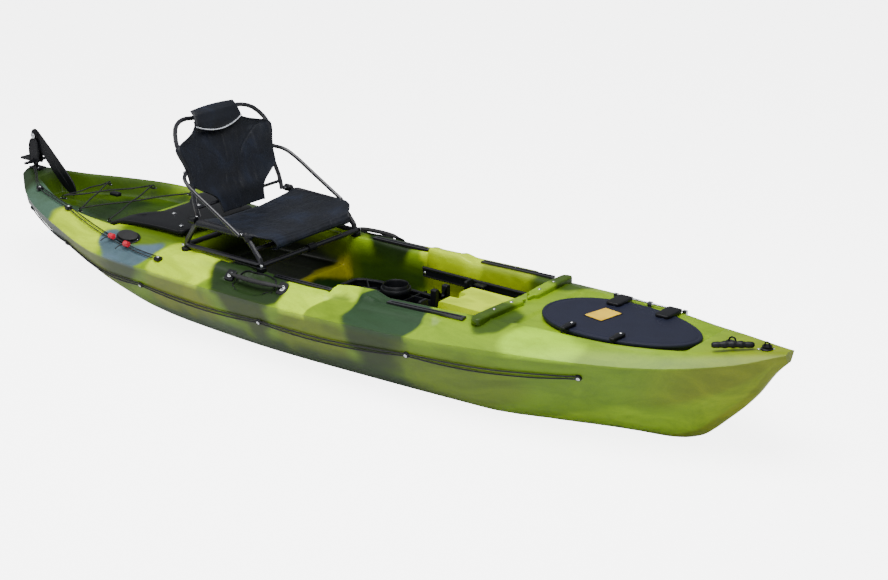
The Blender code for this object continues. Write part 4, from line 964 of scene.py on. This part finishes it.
def make_hoist_line():
    """The rudder's hoist line, two strands through three eyes along the gunwale and up to the head,
    with a red pull on each strand and its knotted tails."""
    x, y = np.array(HOIST_ROUTE).T
    outer, inner = on_deck(x, -(y + .006), .0078), on_deck(x, -(y - .006), .0078)
    rise = np.array([(-1.66, -.118, .361), (-1.70, -.085, .372), (-1.768, -.036, .382)])
    whole = np.vstack([rise[::-1] + [0, .004, .001], inner[::-1], outer, rise - [0, .004, 0]])
    bar("hoist_cord", route(whole, 200), disc(.0023, 8), (0, 0, 1), CORD, "hull",
        replaces=("rudder_hoist_line",))
    eyes = (("fore", -.680, .3735), ("mid", -1.316, .2525), ("aft", -1.606, .150))
    for word, px, py in eyes:
        angle = math.atan2(curve(HALF_BEAM, px + .02) - curve(HALF_BEAM, px - .02), .04)
        c, s = math.cos(-angle), math.sin(-angle)
        base = on_deck(px, -py, .0)
        shell = rounded_outline([(-.014, -.013), (.014, -.013), (.014, .013), (-.014, .013)], .006)
        put = lambda a, b, h: np.stack([base[0] + c * a - s * b, base[1] + s * a + c * b, base[2] + h], -1)
        slab("hoist_eye_" + word, shell, .0145, NYLON, "hull", .003, place=put,
             replaces=("line_eye_" + word,))
        screws("hoist_eye_screw_" + word, put(0, 0, .0142), (0, 0, 1), .0062)
    knob = [(.0035, -.0145), (.0085, -.0140), (.0115, -.0100), (.0118, -.004), (.0092, .002), (.0088, .006),
            (.0112, .0105),
            (.0098, .0140), (.004, .0148)]
    for word in ("up", "down"):
        low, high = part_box("hoist_toggle_" + word)
        centre = (np.array(low) + np.array(high)) / 2
        turned("hoist_pull_" + word, centre, (1, -.13, .05), knob, RED, "hoist_toggle_" + word, 24,
               replaces=("hoist_toggle_" + word,))
        tail = centre + np.array([(-.012, -.002, 0), (-.022, -.010, -.006), (-.028, -.022, -.012),
                                  (-.026, -.034, -.016)])
        bar("hoist_tail_" + word, route(tail, 14), disc(.0020, 8), (0, 0, 1), CORD, "hoist_toggle_" + word)


def make_bungee():
    """The tankwell's bungee, laced through six pad eyes in straight runs, with its sliding lock."""
    low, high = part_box("tankwell_bungee")
    level = (low[2] + high[2]) / 2
    corners = np.array([(x, y, level) for x, y in BUNGEE_HOOKS])
    runs = [corners[k] + (corners[k + 1] - corners[k]) * np.linspace(0, 1, 16)[:, None] for k in range(5)]
    path = np.vstack([runs[0]] + [run[1:] for run in runs[1:]])
    path[:, 2] += .0035 * np.sin(np.arange(len(path)) * .39) ** 2
    bar("bungee_cord", path, disc(.0030, 8), (0, 0, 1), CORD, "hull", replaces=("tankwell_bungee",))
    places = [(x, y + math.copysign(.004, y), max(float(deck(x, y + math.copysign(.01, y))),
                                                  level - .010) - .001)
              for x, y in BUNGEE_HOOKS]
    pad_eyes("tankwell_eye", places, [.2, -.3, -.25, .25, .3, -.2])
    low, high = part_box("bungee_lock")
    shape = rounded_outline([(low[0], low[1]), (high[0], low[1]), (high[0], high[1]), (low[0], high[1])],
                            .009)
    slab("bungee_slide", shape, high[2] - low[2], NYLON, "hull", .005, replaces=("bungee_lock",),
         place=lambda a, b, h: np.stack([a, b, h + low[2]], -1))


make_safety_lines()
make_hoist_line()
make_bungee()


# ---------------------------------------------------------------- the front hatch
def egg(shrink=0.0, count=120):
    """The hatch outline: an ellipse whose half-width is (1 - .13 cos) times as wide towards the bow."""
    angle = np.linspace(0, 2 * math.pi, count, endpoint=False)
    along = np.cos(angle)
    return np.stack([(HATCH_HALF_LENGTH - shrink) * along,
                     (HATCH_HALF_WIDTH - shrink) * np.sin(angle) * (1 - .13 * along)], -1)


def make_front_hatch():
    """The lid with its moulded border step, its hinge knuckles and swept pads, the rim, the blank plate."""
    low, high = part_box("front_hatch_lid")
    top = WELL_FLOOR + .0225
    put = lambda a, b, h: np.stack([a + HATCH_X, b, h], -1)
    rings = [(.003, top - .0120), (.0008, top - .0108), (0, top - .0085), (.0004, top - .0040),
             (.002, top - .0014), (.005, top - .0002),
             (.009, top), (.0125, top - .0002), (.0145, top - .0014), (.0165, top - .0014),
             (.020, top - .0004), (.035, top), (.075, top)]
    points = np.array([np.column_stack([egg(k), np.full(120, h)]) for k, h in rings])
    points = put(points[..., 0], points[..., 1], points[..., 2])
    under = np.array([np.column_stack([egg(k), np.full(120, h)]) for k,
                      h in ((.064, low[2]), (.062, low[2] + .002), (.062, top - .0120))])
    points = np.concatenate([put(under[..., 0], under[..., 1], under[..., 2]), points])
    columns = points.shape[1]
    quads = net(*points.shape[:2], wrap_columns=True)[:, ::-1].tolist()
    quads += [list(range(columns))[::-1], list(range(points[..., 0].size - columns, points[..., 0].size))]
    piece("hatch_lid_shell", points, quads, LID, "front_hatch_lid", ("front_hatch_lid",), 35)
    for word, x in (("aft", 1.075), ("fore", 1.275)):
        knuckle = rounded_outline([(-.028, .112), (-.020, .104), (.020, .104), (.028, .112), (.028, .204),
                                   (-.028, .204)], .008)
        slab("hatch_knuckle_" + word, knuckle, .0125, NYLON, "front_hatch_lid", .004, crown=.0008,
             place=lambda a, b, h, x=x: np.stack([a + x, b, h + top - .0006], -1))
        sweep = route([(x + .034, .150, top), (x + .010, .104, top), (x + .012, .070, top),
                       (x + .05, .052, top)], 24)
        swell = np.sin(np.linspace(.25, math.pi - .1, 24))[:, None, None]
        bar("hatch_swage_" + word, sweep, disc(.006, 12, .38) * swell, (0, 0, 1), LID, "front_hatch_lid")
    plate = np.array([(1.053, -.030), (1.130, -.044), (1.146, .058), (1.072, .070)])
    border = plate.mean(0) + (plate - plate.mean(0)) * 1.10
    slab("plate_border", rounded_outline(border, .004), .0012, NYLON, "front_hatch_lid", .0004,
         place=lambda a, b, h: np.stack([a, b, h + top - .0002], -1))
    slab("plate_face", rounded_outline(plate, .003), .0024, YELLOW, "front_hatch_lid", .0005,
         replaces=("hatch_lid_plate",),
         place=lambda a, b, h: np.stack([a, b, h + top + .0002], -1))
    flange = np.array([(-.017, 0), (-.017, .0075), (-.014, .0088), (.010, .0088), (.016, .0070),
                       (.0175, .002), (.0175, 0)])
    mid = egg(.022, 140)
    ring = np.column_stack([mid[:, 0] + HATCH_X, mid[:, 1], np.full(140, WELL_FLOOR + .0012)])
    bar("hatch_rim_ring", ring, flange, (0, 0, 1), NYLON, "hull", closed=True, replaces=("front_hatch_rim",))
    for word in ("aft", "fore"):
        low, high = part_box("hatch_latch_" + word)
        x = (low[0] + high[0]) / 2
        lever = rounded_outline([(-.010, low[1]), (.010, low[1]), (.014, high[1] - .02), (.012, high[1]),
                                 (-.012, high[1]),
                                 (-.014, high[1] - .02)], .006)
        slab("latch_lever_" + word, lever, high[2] - low[2] + .002, NYLON, "hatch_latch_" + word, .003,
             crown=.001,
             replaces=("hatch_latch_" + word,), place=lambda a, b, h, x=x,
             z=low[2]: np.stack([a + x, b, h + z], -1))
        screws("latch_screw_" + word, (x, high[1] - .014, high[2] + .0022), (0, 0, 1), .0042,
               "hatch_latch_" + word)


make_front_hatch()


# ---------------------------------------------------------------- handles, eyes and rod holders
def make_side_handles():
    """Each carrying handle: two screwed tabs, a slim moulded frame round the belly, and a soft grip
    that swells in the middle, bowed out over the recess."""
    for side, word in ((-1, "starboard"), (1, "port")):
        t = np.linspace(0, 1, 40)
        x = -.325 + .263 * t
        y = .346 + .022 * np.sin(math.pi * t) ** .7
        path = on_deck(x, side * y, .013)
        path[:, 2] = np.interp(t, [0, 1], [path[0, 2], path[-1, 2]]) + .004 * np.sin(math.pi * t) ** .6
        swell = (.0062 + .0046 * smooth(np.sin(math.pi * t), .25, .7))[:, None, None]
        bar("grip_" + word, path, disc(1.0, 14, .8) * swell, (0, 0, 1), RUBBER, "hull",
            replaces=("side_handle_" + word,))
        for end, px in (("aft", -.325), ("fore", -.062)):
            base = on_deck(px, side * .347, 0)
            slope = float(deck(px, .357) - deck(px, .337)) / .02
            tab = rounded_outline([(-.022, -.017), (.022, -.017), (.022, .017), (-.022, .017)], .007)
            lay = lambda a, b, h: np.stack([base[0] + a, base[1] + b, base[2] + side * b * slope + h + .001],
                                           -1)
            slab(f"grip_tab_{end}_{word}", tab, .011, NYLON, "hull", .003, place=lay)
            screws(f"grip_screw_{end}_{word}", base + [0, 0, .0115], (0, -side * slope, 1), .0088)
        angle = np.linspace(0, math.pi, 36)
        frame_x = -.1935 + .094 * np.cos(angle)
        frame_y = side * (.350 - .040 * np.sin(angle) ** .8)
        bar("grip_frame_" + word, on_deck(frame_x, frame_y, .0022), disc(.0032, 8), (0, 0, 1), NYLON, "hull")
        frame_y = side * (.362 + .043 * np.sin(angle) ** .8)
        bar("grip_lip_" + word, on_deck(frame_x, frame_y, .0012), disc(.0022, 8), (0, 0, 1), NYLON, "hull")


def make_bow_fittings():
    """The toggle grip on its strap, and the tip eye in its dish with two bright screws."""
    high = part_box("bow_grip")[1]
    ends = np.array([(1.600, -.094, high[2] - .0165), (1.650, -.061, high[2] - .0125),
                     (1.700, -.028, high[2] - .0125)])
    path = route(ends, 30)
    t = np.linspace(-1, 1, 30)
    swell = (.0125 * (1 - .10 * t ** 2) + .0012 * np.cos(t * 14) * (np.abs(t) < .75))[:, None, None]
    bar("bow_toggle", path, disc(1.0, 20, .92) * swell, (0, 0, 1), NYLON, "bow_grip", replaces=("bow_grip",))
    strap = route([(1.650, -.061, high[2] - .013), (1.634, -.036, high[2] - .0145),
                   (1.618, -.010, high[2] - .024)], 16)
    bar("bow_strap", strap, disc(.0045, 10, .55), (0, 0, 1), CORD, "bow_grip")
    tip = on_deck(1.742, 0, .0012)
    screws("tip_screws", tip + np.array([(-.021, -.016, .0005), (.016, .016, .0005)]), (0, 0, 1), .0052)
    foot = [(.021, 0), (.021, .003), (.018, .0052), (.013, .0066)]
    turned("tip_eye_foot", tip, (0, 0, 1), foot, NYLON, "hull", 28)


def make_rod_holders():
    """Rubber caps over the rod holders: a crowned oval with a raised lip."""
    angle = np.linspace(0, 2 * math.pi, 48, endpoint=False)
    for side, word in ((-1, "starboard"), (1, "port")):
        x, y = ROD_HOLDER
        normal = deck_normal(np.array(x), np.array(side * y))
        base = on_deck(x, side * y, 0)
        along = np.cross((0, 1, 0), normal)
        along /= np.linalg.norm(along)
        over = np.cross(normal, along)
        lay = lambda a, b, h: base + along * a[...,
                                               None] + over * b[..., None] + normal * (h[..., None] + .0082)
        cap = np.stack([.049 * np.cos(angle), .029 * np.sin(angle)], -1)
        slab("rod_cap_" + word, cap, .0068, RUBBER, "rod_holder_cap_" + word, .0026, crown=.003, place=lay,
             replaces=("rod_holder_cap_" + word,))
        lay_low = lambda a, b, h: (base + along * a[..., None] + over * b[..., None]
                                   + normal * (h[..., None] + .0016))
        ring = np.stack([.0475 * np.cos(angle), .0275 * np.sin(angle)], -1)
        path = lay_low(ring[:, 0], ring[:, 1], np.full(48, .0020))
        bar("rod_flange_" + word, path, disc(1, 10) * [.0098, .0030], normal, NYLON, "hull", closed=True)
        heads = lay_low(np.array([-.050, .050]), np.zeros(2), np.full(2, .0042))
        screws("rod_screws_" + word, heads, normal, .0034)


make_side_handles()
make_bow_fittings()
make_rod_holders()


# ---------------------------------------------------------------- rear cover and console
def make_rear_cover():
    """The moulded cover behind the seat: its outline smoothed, crowned, and curled down at the two
    drawn-out tails; a step runs along its side, and three screws hold it."""
    half = [(-.715, .095), (-.715, .180), (-.738, .206), (-.800, .2085), (-.86, .212), (-.925, .220),
            (-.985, .232), (-1.030, .246),
            (-1.062, .252), (-1.084, .240), (-1.080, .218), (-1.045, .200), (-1.01, .186), (-.985, .165),
            (-.974, .140), (-.968, .06)]
    outline = np.array(half + [(x, -y) for x, y in half[::-1]])
    outline = route(np.column_stack([outline, np.zeros(len(outline))]), 220, closed=True)[:, :2]
    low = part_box("rear_cover")[0]

    def lay(a, b, h):
        tail = smooth(-a, 1.00, 1.09)
        ridge = .004 * np.exp(-((np.abs(b) - .150 + .05 * (a + .85)) / .012) ** 2) * smooth(-a, .76, .80)
        return np.stack([a, b, low[2] + h + ridge * (h > .01) - .024 * tail ** 1.3 + .002
                         * (1 - (b / .25) ** 2)], -1)

    slab("rear_cover_shell", outline, .019, NYLON, "hull", .006, crown=.004, place=lay,
         replaces=("rear_cover",))
    heads = np.array([(-.896, -.070), (-.896, .070), (-.760, -.165), (-.760, .165)])
    screws("rear_cover_screws", lay(heads[:, 0], heads[:, 1], np.full(4, .0225)), (0, 0, 1), .0072)


def make_console():
    """The tray: a tapered wall with a rolled rim, cross webs and a floor; the cup is a lathe turning
    with a rolled lip; and the bracket at its fore end."""
    low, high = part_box("console_tray")
    plan = [(low[0], -.044), (low[0] + .018, -.060), (.040, high[1] - .002), (.200, high[1] - .002),
            (high[0], high[1] - .006)]
    outline = [(x, -abs(y)) for x, y in plan] + [(x, abs(y)) for x, y in plan[::-1]]
    edge = rounded_outline(np.array(outline), .014, 6)
    middle, half = (low[2] + high[2]) / 2, (high[2] - low[2]) / 2
    path = np.column_stack([edge, np.full(len(edge), middle)])
    web = rounded_outline([(-.0032, -half + .002), (.0032, -half + .002), (.0032, half - .004),
                           (-.0032, half - .004)], .002, 3)
    bar("console_wall", path, web, (0, 0, 1), NYLON, "hull", closed=True, replaces=("console_tray",))
    rim = rounded_outline([(-.0085, -.006), (-.004, -.006), (.004, -.006), (.0085, -.006), (.0085, .003),
                           (.005, .005),
                           (-.005, .005), (-.0085, .003)], .002, 3)
    bar("console_rim", path + [0, 0, half - .004], rim, (0, 0, 1), NYLON, "hull", closed=True)
    slab("console_floor", edge * [.985, .93] + [.002, 0], .006, NYLON, "hull", .001, place=lambda a, b,
         h: np.stack([a, b, h + low[2]], -1))
    cross = rounded_outline([(-.003, -.040), (.003, -.040), (.003, .003), (-.003, .003)], .002, 3)
    for k, (start, end) in enumerate((((.130, -.078), (.130, .078)), ((.250, -.078), (.250, .078)),
                                      ((.000, -.060), (.060, .0)),
                                      ((.000, .060), (.060, .0)), ((.060, 0), (.130, 0)),
                                      ((.250, -.034), (.384, -.034)),
                                      ((.250, .034), (.384, .034)))):
        ends = np.array([(*start, high[2] - .004), (*end, high[2] - .004)])
        run = ends[0] + (ends[1] - ends[0]) * np.linspace(0, 1, 6)[:, None]
        bar(f"console_web_{k}", run, cross, (0, 0, 1), NYLON, "hull")
    c_low, c_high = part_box("console_cup")
    centre = (c_low[0] + c_high[0]) / 2
    base = c_low[2]
    tall = c_high[2] - base
    profile = [(.030, 0), (.0440, .001), (.0470, .004), (.0490, .030), (.0490, tall - .036),
               (.0500, tall - .034), (.0570, tall - .031),
               (.0580, tall - .028), (.0580, tall - .016), (.0560, tall - .0135), (.0520, tall - .0130),
               (.0510, tall - .010), (.0500, tall - .002),
               (.0480, tall), (.0462, tall - .002), (.0450, tall - .008), (.0448, tall - .06), (.0438, .016),
               (.040, .009), (.010, .008)]
    turned("cup_turning", (centre, 0, base), (0, 0, 1), profile, NYLON, "console_cup", 64,
           replaces=("console_cup",))
    b_low, b_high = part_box("console_bracket")
    shape = rounded_outline([(b_low[1], b_low[2]), (b_high[1], b_low[2]), (b_high[1], b_high[2]),
                             (.022, b_high[2]), (.020, b_low[2] + .035),
                             (-.020, b_low[2] + .035), (-.022, b_high[2]), (b_low[1], b_high[2])], .007)
    slab("bracket_shell", shape, b_high[0] - b_low[0], NYLON, "hull", .003, replaces=("console_bracket",),
         place=lambda a, b, h: np.stack([h + b_low[0], a, b], -1))


make_rear_cover()
make_console()


# ---------------------------------------------------------------- the rudder
STEER_X, BLADE_PIN, BLADE_TIP = -1.800, (-1.790, .512), (-1.560, .288)


def edgewise(outline, rounding, height, middle, name, material, body, replaces=(), origin=(0, 0), lean=0.0):
    """A plate standing fore and aft: its outline, in the (x, z) plane about an origin and turned by
    lean, is made height thick across the boat about y = middle."""
    c, s = math.cos(lean), math.sin(lean)
    return slab(name, outline, height, material, body, rounding, replaces,
                place=lambda a, b, h: np.stack([origin[0] + c * a - s * b, middle + height / 2 - h,
                                                origin[1] + s * a + c * b], -1))


def make_rudder():
    """The head's collar, its two cheeks, the yoke drawn out to a point aft, the bolt with its washers
    and the tapered blade with a thickened boss and a stiffening rib down each face."""
    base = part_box("rudder_head")[0][2]
    collar = [(.006, 0), (.0145, 0), (.0158, .0015), (.0158, .009), (.0148, .0105), (.0148, .020),
              (.0158, .0215), (.0158, .028),
              (.0145, .030), (.006, .030)]
    turned("rudder_collar", (STEER_X, 0, base), (0, 0, 1), collar, NYLON, "rudder_head", 32,
           replaces=("rudder_head",))
    cheek = np.array([(-.024, .002), (-.026, .060), (-.022, .088), (-.010, .108), (.008, .115), (.026, .108),
                      (.036, .088),
                      (.038, .050), (.032, .002)])
    cheek = rounded_outline(cheek, .010, 6)
    for side, word in ((-1, "starboard"), (1, "port")):
        edgewise(cheek, .0016, .0052, side * .0115, "rudder_cheek_" + word, NYLON, "rudder_head",
                 origin=(STEER_X, base))
        rim = route(np.column_stack([cheek * .86 + [.001, .008], np.zeros(len(cheek))]), 60,
                    closed=True)[:, :2]
        ring = np.column_stack([rim[:, 0] + STEER_X, np.full(60, side * .0145), rim[:, 1] + base])
        bar("rudder_cheek_bead_" + word, ring, disc(.0016, 8), (0, 1, 0), NYLON, "rudder_head", closed=True)
        washer = [(.0125, 0), (.0125, .0012), (.0115, .0016), (.0078, .0018), (.0075, .0050), (.0062, .0060),
                  (.003, .0062)]
        turned("rudder_washer_" + word, (BLADE_PIN[0], side * .0142, BLADE_PIN[1]), (0, side, 0), washer,
               STAINLESS,
               "rudder_head", 6 if side > 0 else 24)
        arm = rounded_outline([(-.0855, .004), (-.080, .016), (-.040, .026), (0, .030), (.012, .030),
                               (.012, .004)], .006, 4)
        edgewise(arm, .0016, .0056, side * .0115, "rudder_arm_" + word, NYLON, "rudder_head",
                 origin=(STEER_X, base + .002))
        plan = rounded_outline([(-.012, .010), (.014, .010), (.008, .050), (.004, .062), (-.006, .062),
                                (-.009, .050)], .006, 5)
        slab("rudder_yoke_" + word, plan * [1, side], .0085, NYLON, "rudder_head", .002,
             place=lambda a, b, h: np.stack([a + STEER_X, b, h + base + .004], -1))
        turned("yoke_eye_" + word, (STEER_X - .001, side * .054, base + .0118), (0, 0, 1),
               [(.0062, 0), (.0062, .0012), (.0046, .0022), (.0026, .0012), (.0024, -.003)], STAINLESS,
               "rudder_head", 18)
    pin, tip = Vector(BLADE_PIN), Vector(BLADE_TIP)
    long, lean = (tip - pin).length, math.atan2(tip.y - pin.y, tip.x - pin.x)
    shape = [(-.024, -.010), (-.025, .010), (-.010, .025), (.03, .029), (.12, .033), (.24, .0355),
             (long - .035, .031), (long - .008, .018),
             (long - .001, -.001), (long - .012, -.018), (.24, -.0335), (.12, -.0315), (.03, -.023),
             (-.010, -.021)]
    smooth_shape = route(np.column_stack([shape, np.zeros(len(shape))]), 150, closed=True)[:, :2]
    edgewise(smooth_shape, .0030, .0070, 0, "rudder_blade_plate", NYLON, "rudder_blade", ("rudder_blade",),
             BLADE_PIN, lean)
    for side, word in ((-1, "starboard"), (1, "port")):
        turned("blade_boss_" + word, (BLADE_PIN[0], side * .0032, BLADE_PIN[1]), (0, side, 0),
               [(.0195, 0), (.0195, .0028), (.0180, .0040), (.006, .0040)], NYLON, "rudder_blade", 32)
        run = np.linspace(.045, long - .050, 24)
        rib = np.stack([pin.x + math.cos(lean) * run, np.full(24, side * .0033),
                        pin.y + math.sin(lean) * run], -1)
        swell = (.0040 * np.sin(np.linspace(.35, math.pi - .12, 24)) ** .5)[:, None, None]
        bar("blade_rib_" + word, rib, disc(1.0, 10, .5) * swell, (0, 1, 0), NYLON, "rudder_blade")
    b_low, b_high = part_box("rudder_bracket")
    heads = [(b_low[0] + .008, .015), (b_low[0] + .008, -.015), (b_high[0] - .008, .015),
             (b_high[0] - .008, -.015)]
    screws("bracket_screws", [(x, y, b_low[2] + .006) for x, y in heads], (0, 0, 1), .0040)


def make_foot_controls():
    """Each foot rail with a rolled top edge, its teeth and end feet, and the ribbed pedal."""
    for side, word in ((-1, "starboard"), (1, "port")):
        low, high = np.array(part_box("foot_rail_" + word))
        middle = (low + high) / 2
        inner = side * min(abs(low[1]), abs(high[1]))
        x = np.linspace(low[0] + .004, high[0] - .004, 40)
        bead = np.stack([x, np.full(40, inner + side * .003), np.full(40, high[2] + .004)], -1)
        bar("rail_bead_" + word, bead, disc(.0066, 12), (0, 0, 1), NYLON, "hull")
        foot = bead * [1, 1, 0] + [0, 0, low[2] - .001]
        bar("rail_foot_" + word, foot, disc(.0036, 10), (0, 0, 1), NYLON, "hull")
        teeth = np.arange(low[0] + .030, high[0] - .030, .0125)
        places = np.stack([teeth, np.full(len(teeth), inner + side * .004),
                           np.full(len(teeth), low[2] + .001)], -1)
        turned("rail_teeth_" + word, places, (0, 0, -1), [(.0046, 0), (.0042, .006), (.0030, .0075)], NYLON,
               "hull", 4)
        for end, px in (("aft", low[0] + .012), ("fore", high[0] - .012)):
            screws(f"rail_screw_{end}_{word}", (px, inner, middle[2]), (0, -side, 0), .0055)
        low, high = np.array(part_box("foot_pedal_" + word))
        plan = rounded_outline([(low[1], low[2]), (high[1], low[2]), (high[1], high[2]), (low[1], high[2])],
                               .010, 6)
        thick = high[0] - low[0]
        slab("pedal_pad_" + word, plan, thick * .62, NYLON, "foot_pedal_" + word, .003, crown=.0012,
             replaces=("foot_pedal_" + word,),
             place=lambda a, b, h, x=low[0] + thick * .62: np.stack([x - h, a, b], -1))
        for k, z in enumerate(np.linspace(low[2] + .016, high[2] - .012, 7)):
            rib = np.linspace(low[1] + .007, high[1] - .007, 6)
            bar(f"pedal_rib_{k}_{word}", np.stack([np.full(6, low[0] + .0005), rib, np.full(6, z)], -1),
                disc(.0020, 8), (0, 0, 1), NYLON,
                "foot_pedal_" + word)
        edgewise(rounded_outline([(thick * .5, low[2]), (thick, low[2] + .012), (thick, high[2] - .030),
                                  (thick * .5, high[2] - .012)],
                                         .004, 4), .001, .009, (low[1] + high[1]) / 2, "pedal_spine_" + word,
                 NYLON, "foot_pedal_" + word,
                         origin=(low[0], 0))


make_rudder()
make_foot_controls()


# ---------------------------------------------------------------- stage, light and camera
FLOOR_REACH = 60.0     # half the floor's side, so that no view reaches its edge
FLOOR_GLOW = 5.0       # seen by the camera only, so that the floor is near white and lights nothing
SKY_STRENGTH = .40
# name, place, what it points at, width in metres, power in watts
LAMPS = (("overhead", (.6, -.9, 4.2), (0, 0, .2), 3.6, 300),
         ("bow_left", (3.4, -3.6, 2.6), (.5, 0, .2), 2.5, 45),
         ("stern_left", (-3.2, -2.6, 3.0), (-.6, 0, .3), 2.5, 55))
# a short telephoto from ahead, to starboard and above; the second row is the way it looks
CAMERA_PLACE = (4.5207, -5.2733, 2.6943)
CAMERA_LOOKS = (-.57804, .74278, -.33786)
FOCAL_LENGTH, SENSOR_WIDTH = 78.96, 36


def make_stage():
    """A pale floor that reaches past every view, three large soft lamps and the camera."""
    reach = np.linspace(-FLOOR_REACH, FLOOR_REACH, 9)
    across, along = np.meshgrid(reach, reach)
    points = np.stack([along, across, 0 * along - .0005], -1)
    white = bpy.data.materials.new("matt_white_backdrop")
    white.use_nodes = True
    shader = white.node_tree.nodes["Principled BSDF"]
    shader.inputs["Base Color"].default_value = colour("#f4f4f4")
    shader.inputs["Roughness"].default_value = .9
    shader.inputs["Emission Color"].default_value = colour("#ffffff")
    seen = add(white.node_tree, "ShaderNodeLightPath").outputs["Is Camera Ray"]
    glow = add(white.node_tree, "ShaderNodeMath", {"operation": "MULTIPLY", 1: FLOOR_GLOW},
               {0: seen}).outputs[0]
    white.node_tree.links.new(glow, shader.inputs["Emission Strength"])
    mesh = bpy.data.meshes.new("backdrop")
    mesh.from_pydata(points.reshape(-1, 3).tolist(), [], net(9, 9).tolist())
    mesh.materials.append(white)
    backdrop = bpy.data.objects.new("backdrop", mesh)
    bpy.context.scene.collection.objects.link(backdrop)
    world = bpy.data.worlds.new("studio")
    world.use_nodes = True
    world.node_tree.nodes["Background"].inputs["Color"].default_value = colour("#f3f6fb")
    world.node_tree.nodes["Background"].inputs["Strength"].default_value = SKY_STRENGTH
    bpy.context.scene.world = world
    for name, place, target, size, power in LAMPS:
        data = bpy.data.lights.new(name, 'AREA')
        data.shape = 'DISK'
        data.size = size
        data.energy = power
        lamp = bpy.data.objects.new(name, data)
        lamp.location = place
        lamp.rotation_euler = (Vector(target) - Vector(place)).to_track_quat('-Z', 'Y').to_euler()
        lamp.visible_camera = False
        bpy.context.scene.collection.objects.link(lamp)
    lens = bpy.data.cameras.new("camera")
    lens.lens, lens.sensor_width = FOCAL_LENGTH, SENSOR_WIDTH
    camera = bpy.data.objects.new("camera", lens)
    camera.location = CAMERA_PLACE
    camera.rotation_euler = Vector(CAMERA_LOOKS).to_track_quat('-Z', 'Y').to_euler()
    bpy.context.scene.collection.objects.link(camera)
    bpy.context.scene.camera = camera


# ---------------------------------------------------------------- finish
FINISHES = {"black_nylon": NYLON, "moulded_lid_plastic": LID, "powder_coated_aluminium": POWDER_COAT,
            "black_rubber": RUBBER, "braided_cord": CORD, "stainless_steel": STAINLESS, "red_plastic": RED,
            "yellow_plate": YELLOW, "coated_mesh_fabric": MESH, "rotomoulded_polyethylene": POLYETHYLENE}
for part in frame["record"]["subparts"]:
    data = frame["nodes"][part["node"]].data
    data.materials.clear()
    data.materials.append(FINISHES[part["material_slot"]])

make_stage()
